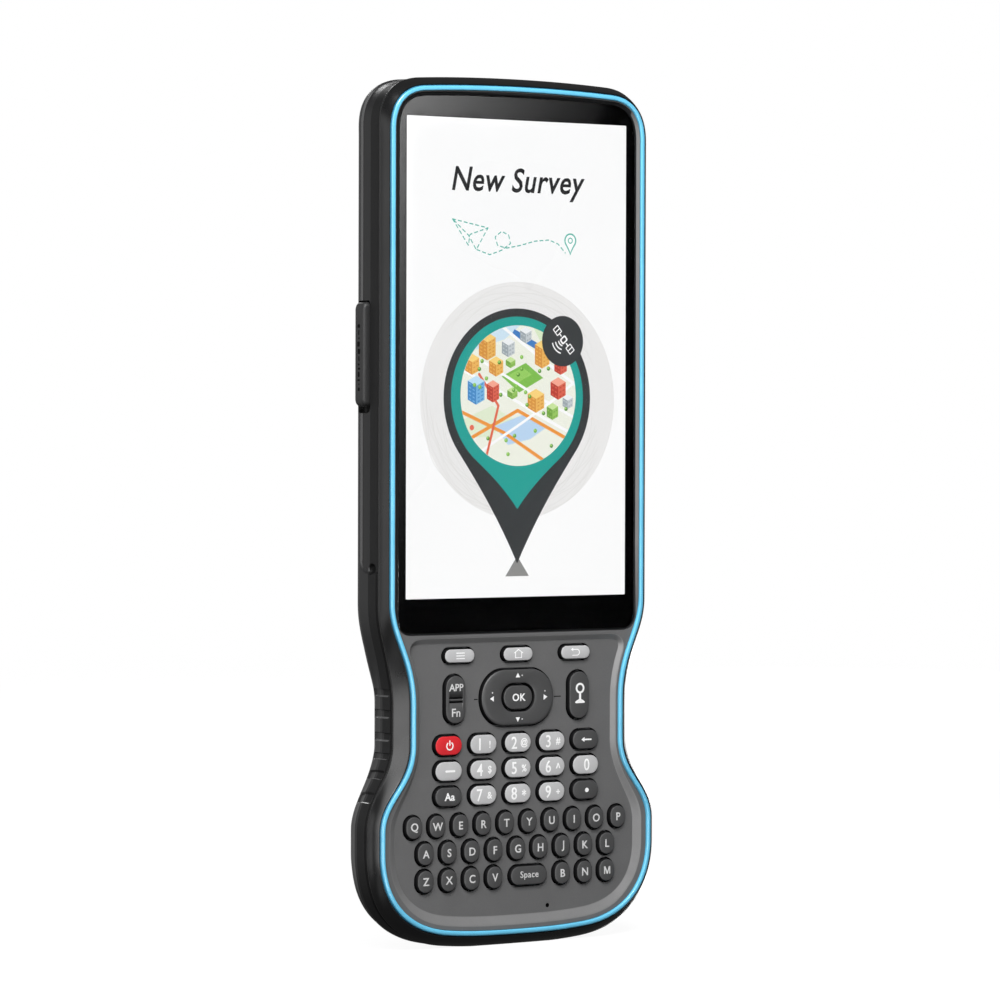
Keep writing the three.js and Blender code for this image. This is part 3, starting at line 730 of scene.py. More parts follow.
def display():
    b = Build()
    w, h = 68.5, 121.8
    T0 = 1.60
    lay = [0]

    def poly(pts, col, up=None):
        if len(pts) < 3:
            return
        if up is None:
            lay[0] += 1
            up = lay[0]
        ids = b.loop([(p[0], p[1], T0 - 0.0015 * up) for p in pts])
        tris = tessellate_polygon([[Vector((b.v[i][0], b.v[i][1], 0)) for i in ids]])
        for t in tris:
            b.face([ids[i] for i in t], 0, col)

    def line(pts, wd, col, up=None):
        poly([tuple(p) for p in stroke_poly(pts, wd)], col, up)

    white = (1, 1, 1)
    a = b.loop(rrect(w, h, 0.2, 3), T0)
    for t in tessellate_polygon([[Vector((b.v[i][0], b.v[i][1], 0)) for i in a]]):
        b.face([a[i] for i in t], 0, white)
    # pale disc with faint contour lines
    cx, ch = 0.3, -10.6
    poly(circle(cx, ch, 30.3, 128), srgb("eeedec"))
    rnd = random.Random(3)
    for k in range(9):
        r0 = 24.4 + k * 0.68
        pts = []
        for i in range(61):
            an = math.radians(200 + 150 * i / 60 - k * 4)
            rr = r0 + 0.5 * math.sin(an * 5 + k) + 0.35 * math.sin(an * 11 - k * 1.7)
            pts.append((cx + rr * math.cos(an), ch + rr * math.sin(an)))
        line(pts, 0.16, srgb("e4e3e1"))
    for k in range(6):
        r0 = 24.8 + k * 0.8
        pts = []
        for i in range(41):
            an = math.radians(20 + 100 * i / 40 + k * 5)
            rr = r0 + 0.6 * math.sin(an * 6 + k * 2)
            pts.append((cx + rr * math.cos(an), ch + rr * math.sin(an)))
        line(pts, 0.16, srgb("e6e5e3"))
    # base triangle, dark pin, teal lining, map disc
    poly([(-3.7, -55.6), (3.7, -55.6), (0, -50.4)], srgb("8d8d8b"))
    poly(pin_shape(0, -10.0, 22.9, -52.2), srgb("2f3234"))
    poly(pin_shape(0, -9.8, 20.6, -38.3), srgb("17a096"))
    mx, mh, mr = 0.3, -9.4, 18.0
    poly(circle(mx, mh, mr, 96), srgb("f1f3e6"))

    def inside(pts, col):
        poly([tuple(p) for p in clip_circle(pts, mx, mh, mr - 0.02)], col)

    def inline(pts, wd, col):
        p = stroke_poly(pts, wd)
        inside(p, col) if len(pts) == 2 else [inside(stroke_poly(pts[i:i + 2], wd), col) for i in range(len(pts) - 1)]

    inside([(-19, 6.5), (-6, 12), (2, 9.5), (-4, 5), (-19, 0.5)], srgb("cfe6f4"))
    inside([(3, 11), (12, 9), (20, 3), (20, -1), (8, 3.2)], srgb("dcecc8"))
    inside([(-5, -4.5), (2.5, -1.0), (8, -4.8), (0.5, -8.6)], srgb("7fbf4d"))
    inside([(-3.8, -4.6), (1.6, -2.2), (4.4, -4.0), (-1, -6.6)], srgb("98cf62"))
    inside([(-18, -16), (-8, -12), (-1, -15.5), (-9, -20), (-18, -20)], srgb("e3eed2"))
    inside([(-7, -17.2), (2, -14.2), (9, -17.5), (4, -20.5), (-3, -22)], srgb("bcd8f3"))
    inside([(-1, 7.6), (6, 4.2), (14, 3.6), (14, 2.2), (5.5, 2.6), (-2, 6.2)], srgb("3b7dc4"))
    for seg_, wd, col in [
        ([(-19, -13), (-4, -19), (10, -27)], 0.9, "f29a3c"), ([(-16, -21), (0, -13.2), (19, -22)], 0.9, "f29a3c"),
        ([(-19, -2), (-3, -9.5), (8, -15), (19, -20)], 0.8, "ffffff"), ([(-6, 9), (6, 1), (19, -7)], 0.8, "ffffff"),
        ([(-19, 3), (-6, -3.2), (6, -9.5), (19, -15.5)], 0.7, "ffffff"), ([(-12, -24), (2, -16), (12, -10), (19, -5)], 0.7, "ffffff"),
        ([(-10, -26), (-6, -12), (-12, -4)], 0.7, "e46b50"),
    ]:
        inline(seg_, wd, srgb(col))

    def block(x, y, s, ht, top, left, right):
        """Small isometric block, drawn from its near corner."""
        k = 0.5
        n0, n1, n2, n3 = (x, y), (x + s, y + s * k), (x, y + 2 * s * k), (x - s, y + s * k)
        up = lambda q: (q[0], q[1] + ht)
        inside([n0, n1, up(n1), up(n0)], srgb(right))
        inside([n3, n0, up(n0), up(n3)], srgb(left))
        inside([up(n0), up(n1), up(n2), up(n3)], srgb(top))
        rows = max(1, int(ht / 0.9))
        for r in range(rows):
            yy = 0.35 + r * ht / rows
            for c in range(2):
                f0, f1 = 0.18 + 0.42 * c, 0.42 + 0.42 * c
                a0 = (x + s * f0, y + s * k * f0 + yy)
                a1 = (x + s * f1, y + s * k * f1 + yy)
                inside([a0, a1, (a1[0], a1[1] + 0.34), (a0[0], a0[1] + 0.34)], srgb(left))
                a0 = (x - s * f0, y + s * k * f0 + yy)
                a1 = (x - s * f1, y + s * k * f1 + yy)
                inside([a0, a1, (a1[0], a1[1] + 0.34), (a0[0], a0[1] + 0.34)], srgb(right))

    orange = ("f7d27a", "d9923c", "eab45a")
    red = ("f3a58e", "b93a2c", "d8604a")
    bluec = ("bfe0f6", "3f86c4", "74b0de")
    green = ("c7e29a", "6fa23c", "93c25a")
    greyc = ("eceff0", "9aa4aa", "c3cacd")
    for x, y, s, ht, c in [
        (-9.5, -0.5, 2.6, 4.6, orange), (-3.0, 0.4, 2.0, 3.0, greyc), (-14.2, -4.2, 2.2, 3.2, orange), (-6.8, -4.6, 2.2, 3.0, orange),
        (7.6, -2.4, 2.3, 5.0, orange), (13.4, -4.0, 2.0, 3.0, red), (2.4, 4.0, 1.8, 2.4, greyc), (-13.0, -11.8, 2.6, 4.8, bluec),
        (-7.8, -11.2, 1.9, 3.8, red), (12.6, -10.4, 2.4, 3.4, red), (5.6, -13.8, 2.6, 3.6, orange), (10.8, -15.6, 1.8, 2.6, green),
        (-1.8, -10.4, 1.6, 1.6, green), (15.6, -12.8, 1.6, 2.2, greyc), (-2.4, -2.4, 1.5, 1.4, green),
    ]:
        block(x, y, s, ht, *c)
    for k in range(26):
        an, rr = rnd.uniform(0, 360), rnd.uniform(2, 16.5)
        x, y = mx + rr * math.cos(math.radians(an)), mh + rr * math.sin(math.radians(an))
        inside(circle(x, y, 0.55, 10), srgb(rnd.choice(["5f9e34", "7db84a", "4b8a2e"])))
        inside(circle(x - 0.12, y + 0.16, 0.3, 8), srgb("a6d56e"))
    inside([tuple(p) for p in stroke_poly(circle(-15.2, -19.0, 1.3, 24), 0.3)[:1][0]] if False else circle(-14.4, -17.6, 0.7, 16), srgb("e46b50"))
    # badge with a small satellite mark
    bx, bh = 13.9, 4.7
    poly(circle(bx, bh, 6.5, 72), srgb("2f3234"))

    def rot(pts, ang, ox, oy):
        c, s = math.cos(math.radians(ang)), math.sin(math.radians(ang))
        return [(ox + c * x - s * y, oy + s * x + c * y) for x, y in pts]

    light, ink = (0.95, 0.95, 0.95), srgb("2f3234")
    ox, oy, ang = bx + 0.35, bh + 0.35, -50
    for x0 in (-3.1, 3.1):
        poly(rot(rrect(2.3, 2.0, 0.25, 3, x0, 0), ang, ox, oy), light)
        poly(rot(rrect(1.75, 1.45, 0.1, 2, x0, 0), ang, ox, oy), ink)
        poly(rot(rrect(0.28, 1.5, 0.05, 2, x0, 0), ang, ox, oy), light)
        poly(rot(rrect(0.9, 0.34, 0.1, 2, x0 * 0.5, 0), ang, ox, oy), light)
    poly(rot(rrect(1.7, 2.2, 0.45, 4), ang, ox, oy), light)
    poly(rot(rrect(0.9, 1.3, 0.3, 4), ang, ox, oy), ink)
    for r in (1.5, 2.5, 3.5):
        line(circle(bx + 0.2, bh + 0.3, r, 12, 195, 255), 0.36, light)
    # dotted route: a folded dart, a loop and a small marker
    green = srgb("56b4a4")

    def dashes(pts, wd=0.3, on=0.95, off=0.85):
        p = np.array(pts, float)
        d = np.r_[0, np.cumsum(np.hypot(*np.diff(p, axis=0).T))]
        at = 0.0
        while at < d[-1]:
            q = [(np.interp(u, d, p[:, 0]), np.interp(u, d, p[:, 1])) for u in np.linspace(at, min(at + on, d[-1]), 3)]
            line(q, wd, green)
            at += on + off
    dashes([(-20.5, 35.2), (-9.6, 33.2), (-13.2, 27.6), (-15.6, 31.2), (-20.5, 35.2)])
    dashes([(-20.5, 35.2), (-15.6, 28.6), (-15.2, 31.4), (-9.6, 33.2)])
    dashes([(-13.0, 27.6), (-9.0, 26.4), (-5.4, 27.6), (-2.6, 29.4), (-3.2, 31.6), (-5.4, 32.4), (-7.4, 31.0), (-6.6, 28.8), (-3.8, 28.2), (0.5, 29.0), (5.0, 30.2), (9.5, 30.6), (12.4, 29.6), (14.6, 27.4)])
    poly(pin_shape(16.2, 30.6, 1.9, 26.9, 32), green)
    poly(pin_shape(16.2, 30.6, 1.5, 27.6, 32), white)
    poly(circle(16.2, 30.6, 0.8, 24), green)
    poly(circle(16.2, 30.6, 0.5, 24), white)
    # plain heading
    v, f, size = text_mesh("New Survey", 8.6, bold=0.13, spacing=1.06, shear=0.22, cell=0)
    v = [(x * 41.5 / size[0], y) for x, y in v]
    lay[0] += 1
    base = b.loop([(x, y + 44.6, T0 - 0.0015 * lay[0]) for x, y in v])
    for q in f:
        b.face([base[i] for i in q], 0, srgb("121316"))
    o = b.obj("display_page", ["screen"], merge=0, recalc=False)
    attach(o, "housing")
    # panel body behind the page: rolled steel tray
    b = Build()
    x, hh, wd, ht, t0, t1 = node_box("display_panel")
    b.levels([(rrect(wd, ht, 2.2, 5, x, hh), t1), (rrect(wd, ht, 2.2, 5, x, hh), 2.35), (rrect(wd - 0.5, ht - 0.5, 2.0, 5, x, hh), 2.15), (rrect(wd - 1.2, ht - 1.2, 1.6, 5, x, hh), 2.1)])
    o = b.obj("display_panel_tray", ["steel"])
    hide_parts("display_panel")
    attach(o, "housing")


display()


# ------------------------------------------------------------------ mid frame
def mid_frame():
    b = Build()
    m = margin(C[:, 1])
    ids = []
    for d, t in ((0.80, 3.4), (0.80, 0.70), (0.82, 0.58), (0.88, 0.50), (0.98, 0.46)):
        ids.append(b.loop(ring_at(d), t))
    for k in range(13):  # flat flank from beside the ring out to the side wall, very slightly full
        u = k / 12
        d = 1.06 + (m - 0.10 - 1.06) * u
        full_by = 0.07 + 0.16 * smooth(-106, -119, C[:, 1])
        ids.append(b.loop(C + N * (d + full_by * math.sin(math.pi * u))[:, None], 0.48 + 2.92 * u - 0.04 * math.sin(math.pi * u)))
    for dd, t in ((-0.045, 3.47), (-0.01, 3.54), (0.0, 3.62), (-0.01, 3.72), (-0.06, 3.9), (-0.17, 4.08), (-0.36, 4.22), (-0.62, 4.3), (-2.25, 4.3), (-2.25, 6.3), (-4.5, 6.3)):
        ids.append(b.loop(body_at(dd), t))
    for d, t in ((-1.3, 5.4), (-1.3, 3.4)):
        ids.append(b.loop(ring_at(d), t))
    for k in range(len(ids)):
        b.bridge(ids[k], ids[(k + 1) % len(ids)])
    o = b.obj("mid_frame_moulded", ["black_frame"], angle=40)
    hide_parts("mid_frame")
    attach(o, "housing")
    # floor of the frame, between the display and the board
    b = Build()
    b.levels([(ring_at(-1.4), 6.2), (ring_at(-1.4), 5.45)])
    o = b.obj("mid_frame_floor", ["black_frame"])
    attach(o, "housing")


mid_frame()


# ------------------------------------------------------------------ rear housing
SCREWS = [(-33.5, 60.5), (33.5, 60.5), (-33.5, -47.5), (33.5, -47.5), (-34.0, -128.5), (34.0, -128.5)]
BAY = (0.0, 9.0, 62.0, 88.0, 4.0)
CAMW = (-18.5, 60.3, 17.0, 8.4, 4.15)
SLOTS = [(13.0 + 3.4 * i, 60.3, 1.3, 6.4, 0.64) for i in range(5)]
PORT_C = (11.0, 0.2, 4.9, 28.2)  # depth, height, size across, size along


RIBS = (-85.4, -91.2, -97.0, -102.8, -108.4, -113.6)


def side_shape(x, h, t):
    """How far the side wall is cut back at a point: channel, finger ribs, port recess. Arrays."""
    cut = np.zeros_like(t)
    # scooped channel, open towards the mid frame, with a round lower end and a pit in it
    a, b = t - 8.8, -51.2 - h
    sd = np.where((a > 0) & (b > 0), np.hypot(a, b) - 3.3, np.maximum(t - 12.1, -54.5 - h))
    fade = smooth(27, 33, np.abs(x))
    deep = 0.42 + 0.2 * smooth(10.8, 6.2, t)
    cut += deep * np.clip(-sd / 0.5, 0, 1) * fade * (h > -62)
    pit = np.hypot((t - 7.5) / 1.55, (h + 53.4) / 1.6)
    cut += 0.8 * (1 - smooth(0.55, 1.0, pit)) * fade
    # stepped ribs at the waist
    band = smooth(5.0, 6.0, t) * (1 - smooth(11.9, 13.4, t))
    for z in RIBS:
        cut += 0.5 * smooth(z, z + 0.4, h) * smooth(z + 2.25, z + 2.05, h) * band
    # port recess on the left
    q1, q2 = np.abs(t - PORT_C[0]) - (PORT_C[2] / 2 - 1.2), np.abs(h - PORT_C[1]) - (PORT_C[3] / 2 - 1.2)
    sdp = np.hypot(np.maximum(q1, 0), np.maximum(q2, 0)) + np.minimum(np.maximum(q1, q2), 0) - 1.2
    cut += np.where(x < 0, 1.3 * (1 - smooth(-0.16, 0.10, sdp)), 0)
    # the connector's opening in its floor
    q1, q2 = np.abs(t - 11.0) - 0.2, np.abs(h) - 3.3
    sdo = np.hypot(np.maximum(q1, 0), np.maximum(q2, 0)) + np.minimum(np.maximum(q1, q2), 0) - 1.42
    cut += np.where(x < 0, 2.5 * (1 - smooth(-0.05, 0.05, sdo)), 0)
    return cut


def rear_housing():
    def step(x, h):
        if -119 < h < -82:
            return 0.2
        if 12.5 < h < 15.5 or -15.5 < h < -12.5:
            return 0.16
        if -57.0 < h < -49.0:
            return 0.2
        if 2.6 < abs(h) < 5.4:
            return 0.14
        return 0.75
    p, n = outline(step)
    c, nn = full(p, n)
    m = margin(c[:, 1])
    tl = [4.6, 4.64, 4.74, 4.9, 5.1, 5.3, 5.6, 5.9, 6.2, 6.5, 6.9, 7.3, 7.7, 8.1, 8.4, 8.5, 8.58, 8.66, 8.76, 9.0, 9.3, 9.7, 10.2, 10.7, 10.95, 11.05, 11.14, 11.22, 11.3, 11.38, 11.46, 11.6, 11.9]
    inset = [-0.6, -0.4, -0.2, -0.08, -0.02] + [0.0] * (len(tl) - 5)
    prof = list(zip(tl, inset))
    for k in range(1, 19):
        a = math.pi / 2 * k / 18
        prof.append((11.9 + 4.1 * math.sin(a), -4.6 * (1 - math.cos(a)) ** 1.08))
    # the port recess's far edge needs close levels too
    extra = [9.34, 9.38, 9.42, 9.5, 9.6, 9.85, 12.4, 12.5, 12.58, 12.62, 12.66, 11.5, 11.7, 11.8, 12.0, 12.1, 12.2, 13.2, 13.3, 13.38, 13.46, 13.54, 13.62]
    tt = np.array([q[0] for q in prof])
    ii = np.array([q[1] for q in prof])
    order = np.argsort(tt)
    tt, ii = tt[order], ii[order]
    all_t = np.unique(np.round(np.r_[tt, extra], 4))
    all_i = np.interp(all_t, tt, ii)
    b = Build()
    ids = []
    for t, i in zip(all_t, all_i):
        cut = side_shape(c[:, 0], c[:, 1], np.full(len(c), t))
        tuck = smooth(-74, -86, c[:, 1]) * (0.55 + 0.45 * smooth(-104, -114, c[:, 1]))
        roll = np.clip(t - 9.4, 0, None)
        d = m + i - cut - tuck * (0.38 * roll - 0.02 * roll ** 2) * (roll > 0)
        d = d - 0.28 * np.clip((8.6 - t) / 3.6, 0, 1) ** 2
        ids.append(b.loop(c + nn * d[:, None], t))
    hm = (c[:, 1] + np.roll(c[:, 1], -1)) / 2
    # faces on the upper lip of each rib, which get the painted highlight
    lips = [j for j in range(len(c)) if abs(c[j, 0]) > 28 and any(z < hm[j] < z + 0.4 for z in RIBS)]
    # painted shade: the side wall gets darker blacks towards the parting groove, near-black up to t 5.35 and a darker
    # black up to t 8.45
    for k in range(len(ids) - 1):
        first = len(b.f)
        b.bridge(ids[k], ids[k + 1], 3 if all_t[k + 1] <= 5.35 else 2 if all_t[k + 1] <= 8.45 else 0)
        if 5.9 < all_t[k] < 12.3 and len(b.f) - first == len(c):
            for j in lips:  # painted highlight: a lighter black on the upper lip of each rib, where light catches the edge
                b.m[first + j] = 4
    for k, f in enumerate(b.f):  # painted shade: the pit and the port recess get the near-black material
        q = np.mean([b.v[i] for i in f], axis=0)
        if q[0] < -30 and abs(q[2] - PORT_C[0]) < PORT_C[2] / 2 - 0.12 and abs(q[1] - PORT_C[1]) < PORT_C[3] / 2 - 0.12:
            b.m[k] = 3
        if abs(q[0]) > 30 and math.hypot((q[2] - 7.5) / 1.45, (q[1] + 53.4) / 1.5) < 0.95:
            b.m[k] = 3
    # inside of the shell
    inner = [b.loop(c + nn * (m - 2.6)[:, None], t) for t in (4.6, 9.0)]
    b.bridge(ids[0], inner[0])
    b.bridge(inner[0], inner[1])
    b.face(inner[1])
    # back face with its openings
    holes = []

    def well(x, h, w, hh, r, depth, seg=8, lip=0.25, mat=0, floor_mat=0, floor=True):
        hid = [b.loop(rrect(w + 2 * g, hh + 2 * g, r + g, seg, x, h), t) for g, t in ((lip + 0.22, TH), (lip, TH), (lip * 0.35, TH - lip * 0.2), (0, TH - lip * 0.9), (0, TH - depth))]
        b.bridge(hid[0], hid[1])
        b.bridge(hid[1], hid[2])
        b.bridge(hid[2], hid[3])
        b.bridge(hid[3], hid[4], mat)
        holes.append(hid[0])
        if floor:
            b.face(hid[4], floor_mat)
        return hid[4]

    well(*BAY, depth=6.0, lip=0.35)
    well(CAMW[0], CAMW[1], CAMW[2], CAMW[3], CAMW[4], 0.7, 12)
    for s in SLOTS:
        # painted shade: the slots' walls and floors get the near-black
        well(*s, depth=1.4, seg=6, lip=0.15, mat=1, floor_mat=1)
    for x, h in SCREWS:
        well(x, h, 5.2, 5.2, 2.6, 1.5, 8, 0.2)
    flat = b.loop([(v[0] * 0.988, (v[1] + 39.15) * 0.996 - 39.15) for v in (b.v[i] for i in ids[-1])], TH)
    b.bridge(ids[-1], flat)
    b.fill(flat, holes)
    o = b.obj("rear_housing_shell", ["black", "gap_shade_and_ink", "black_painted_shade", "groove", "rib_lip_highlight"], angle=34)
    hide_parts("rear_housing")
    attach(o, "housing")


rear_housing()


def port_connector():
    """Steel mouth of the connector with its tongue, seen when the flap is open."""
    b = Build()

    def mouth(g, x):
        return b.loop([(x, p[1], p[0]) for p in rrect(2.1 + 2 * g, 7.9 + 2 * g, 1.05 + g, 10, 11.0, 0.0)])
    ids = [mouth(0.36, -37.35), mouth(0.36, -38.05), mouth(0.3, -38.12), mouth(0.12, -38.12), mouth(0.05, -38.05), mouth(0.05, -37.35)]
    for k in range(6):
        b.bridge(ids[k], ids[(k + 1) % 6])
    o = b.obj("port_connector_mouth", ["steel"], angle=40)
    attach(o, "housing")
    b = Build()
    ids = [b.loop([(x, p[1], p[0]) for p in rrect(0.7 - 2 * g, 6.3 - 2 * g, 0.3 - g, 4, 11.0, 0.0)]) for g, x in ((0, -37.3), (0, -37.85), (0.08, -37.95))]
    b.bridge(ids[0], ids[1])
    b.bridge(ids[1], ids[2])
    b.face(ids[0])
    b.face(ids[2][::-1])
    o = b.obj("port_connector_tongue", ["gasket_and_shade"], angle=40)
    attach(o, "housing")


port_connector()


def back_details():
    # camera window: glass plate, lens, flash
    b = Build()
    x, h, w, hh, r = CAMW
    b.levels([(rrect(w - 0.3, hh - 0.3, r - 0.15, 12, x, h), TH - 0.68), (rrect(w - 0.3, hh - 0.3, r - 0.15, 12, x, h), TH - 0.22), (rrect(w - 0.7, hh - 0.7, r - 0.35, 12, x, h), TH - 0.1)])
    o = b.obj("camera_window", ["lens"])
    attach(o, "housing")
    b = Build()
    cx = x - 4.1
    prof = [(3.3, -0.1), (3.3, 0.05), (3.2, 0.1), (2.75, 0.1), (2.5, 0.0), (2.35, -0.09)]
    ids = [b.loop(circle(cx, h, r_, 40), TH + t_) for r_, t_ in prof]
    for k in range(len(ids) - 1):
        b.bridge(ids[k], ids[k + 1])
    b.bridge(ids[-1], ids[0])
    o = b.obj("camera_ring", ["lens_ring"], angle=30)
    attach(o, "housing")
    b = Build()
    b.levels([(circle(cx, h, 2.3, 32), TH - 0.1)] + [(circle(cx, h, 2.3 * math.cos(a), 32), TH - 0.1 + 0.12 * math.sin(a)) for a in np.linspace(0.2, 1.5, 7)])
    o = b.obj("camera_lens", ["lens"], angle=60)
    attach(o, "housing")
    b = Build()
    b.levels([(circle(x + 4.6, h, 1.7, 28), TH - 0.12), (circle(x + 4.6, h, 1.7, 28), TH - 0.03), (circle(x + 4.6, h, 1.5, 28), TH + 0.01)])
    o = b.obj("camera_flash", ["legend_soft"])
    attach(o, "housing")
    # screws: domed heads with six-lobed sockets
    for k, (sx, sh) in enumerate(SCREWS):
        b = Build()
        n = 48

        def lobed(r, amp):
            return [(sx + (r + amp * math.cos(6 * a)) * math.cos(a), sh + (r + amp * math.cos(6 * a)) * math.sin(a)) for a in np.linspace(0, 2 * math.pi, n, endpoint=False)]
        loops = [(circle(sx, sh, 2.2, n), TH - 1.5), (circle(sx, sh, 2.2, n), TH - 0.75), (circle(sx, sh, 2.05, n), TH - 0.6), (circle(sx, sh, 1.7, n), TH - 0.5),
                 (lobed(1.18, 0.12), TH - 0.46), (lobed(1.1, 0.12), TH - 0.52), (lobed(1.02, 0.11), TH - 1.2)]
        ids = [b.loop(p, t) for p, t in loops]
        for j in range(len(ids) - 1):
            # painted shade: the socket's wall and floor get the near-black
            b.bridge(ids[j], ids[j + 1], 1 if j == 5 else 0)
        b.face(ids[0])
        b.face(ids[-1][::-1], 1)
        o = b.obj("housing_screw_%d" % (k + 1), ["screw", "screw_socket_shade"])
        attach(o, "housing")
    # spring contacts on the bay's floor
    for k in range(5):
        b = Build()
        x0 = -6.0 + 3.0 * k
        b.levels([(rrect(1.5, 2.0, 0.3, 3, x0, -31.6), 10.05), (rrect(1.5, 2.0, 0.3, 3, x0, -31.6), 9.8), (rrect(1.1, 1.6, 0.3, 3, x0, -31.6), 9.75)][::-1] + [(rrect(1.3, 1.8, 0.3, 3, x0, -31.6), 10.12)])
        o = b.obj("battery_contact_%d" % (k + 1), ["gold"])
        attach(o, "housing")


back_details()


# ------------------------------------------------------------------ battery pack
def battery():
    x, h, w, hh, t0, t1 = node_box("battery_pack")
    b = Build()
    r = 3.7
    prof = [(0.0, t0), (0.0, t0 + 0.2), (0.0, TH - 0.5), (-0.05, TH - 0.3), (-0.16, TH - 0.12), (-0.36, TH - 0.02), (-0.6, TH), (-0.9, TH)]
    ids = [b.loop(rrect(w + 2 * g, hh + 2 * g, r + g, 8, x, h), t) for g, t in prof]
    for k in range(len(ids) - 1):
        b.bridge(ids[k], ids[k + 1])
    b.face(ids[0])
    holes = []
    # finger notch: a scooped well with a sloped floor
    nx, nh, nw, nhh = 0.0, h + hh / 2 - 4.4, 20.0, 3.2
    hid = [b.loop(rrect(nw + 2 * g, nhh + 2 * g, 1.5 + g, 8, nx, nh), t) for g, t in ((0.6, TH), (0.3, TH), (0.1, TH - 0.05), (0.0, TH - 0.25), (-0.05, TH - 0.9), (-0.3, TH - 1.15), (-0.9, TH - 1.2))]
    for k in range(6):
        b.bridge(hid[k], hid[k + 1])
    b.face(hid[-1])
    holes.append(hid[0])
    # three shallow grip grooves under it
    for g_ in range(3):
        y0 = nh - 5.0 - 2.4 * g_
        gi = [b.loop(rrect(26 - 4 * g_ + 2 * a, 0.9 + 2 * a, 0.44 + a, 5, 0, y0), t) for a, t in ((0.45, TH), (0.18, TH), (0.05, TH - 0.06), (0, TH - 0.35))]
        for k in range(3):
            b.bridge(gi[k], gi[k + 1])
        b.face(gi[3])
        holes.append(gi[0])
    # framed panel: a fine groove all round
    go = [b.loop(rrect(w - 12 + 2 * a, hh - 26 + 2 * a, 3 + a, 8, 0, h - 8.0), t) for a, t in ((0.6, TH), (0.3, TH), (0.22, TH - 0.06), (0.12, TH - 0.22), (-0.12, TH - 0.22), (-0.22, TH - 0.06), (-0.3, TH), (-0.6, TH))]
    for k in range(7):
        b.bridge(go[k], go[k + 1])
    b.fill(ids[-1], holes + [go[0]])
    b.face(go[-1])
    o = b.obj("battery_shell", ["black"], angle=34)
    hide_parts("battery_pack")
    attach(o, "battery")
    for k in range(5):
        b = Build()
        x0 = -6.0 + 3.0 * k
        b.levels([(rrect(1.8, 2.2, 0.2, 3, x0, -31.6), t0 + 0.1), (rrect(1.8, 2.2, 0.2, 3, x0, -31.6), t0 - 0.05)])
        o = b.obj("battery_pad_%d" % (k + 1), ["gold"])
        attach(o, "battery")


battery()


# ------------------------------------------------------------------ port cover
def port_cover():
    """Rubber flap in the side recess: it is built looking at the side, so x is out of the body."""
    x0, h, w, hh, t0, t1 = node_box("port_cover")
    tc, tw = (t0 + t1) / 2, (t1 - t0)
    b = Build()
    surf = -41.0
    # outline in (t, h); extruded along -x with a pillowed outer face
    def ring(gt, gh, x):
        return b.loop([(x, p[1], p[0]) for p in rrect(tw + 2 * gt, hh + 2 * gh, 1.3 + gt, 10, tc, h)])
    prof = [(-0.35, -0.35, surf + 1.05), (0.0, 0.0, surf + 0.9), (0.0, 0.0, surf + 0.2), (-0.02, -0.06, surf - 0.2), (-0.07, -0.2, surf - 0.58), (-0.17, -0.5, surf - 0.86),
            (-0.34, -0.95, surf - 1.05), (-0.62, -1.6, surf - 1.17), (-0.95, -2.4, surf - 1.22), (-1.25, -3.2, surf - 1.23)]
    ids = [ring(*q) for q in prof]
    for k in range(len(ids) - 1):
        b.bridge(ids[k], ids[k + 1])
    b.face(ids[0])
    b.face(ids[-1][::-1])
    # plug behind it
    pl = [b.loop([(x, p[1], p[0]) for p in rrect(2.6 + 2 * g, 8.6 + 2 * g, 1.25 + g, 8, tc, 0.0)]) for g, x in ((0, surf + 0.8), (0, -38.55), (-0.25, -38.3))]
    b.bridge(pl[0], pl[1])
    b.bridge(pl[1], pl[2])
    b.face(pl[0])
    b.face(pl[2][::-1])
    # inked marks along the face: plain dashes and dots
    y = 8.4
    rnd = random.Random(11)
    while y > -8.5:
        ln = rnd.choice([0.5, 0.9, 1.3])
        wd = rnd.choice([0.5, 0.8, 1.1])
        e = [b.loop([(x, p[1], p[0]) for p in rrect(wd + 2 * g, ln + 2 * g, 0.22 + g, 3, tc + rnd.uniform(-0.12, 0.12), y - ln / 2)]) for g, x in ((0, surf - 1.1), (0, surf - 1.235), (-0.06, surf - 1.255))]
        b.bridge(e[0], e[1], 1)
        b.bridge(e[1], e[2], 1)
        b.face(e[0], 1)
        b.face(e[2][::-1], 1)
        y -= ln + 0.55
    o = b.obj("port_flap", ["rubber", "gap_shade_and_ink"], angle=40)
    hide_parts("port_cover")
    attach(o, "port_flap")


port_cover()


# ------------------------------------------------------------------ keys
EDGE = 0.5
CROWN = 0.10


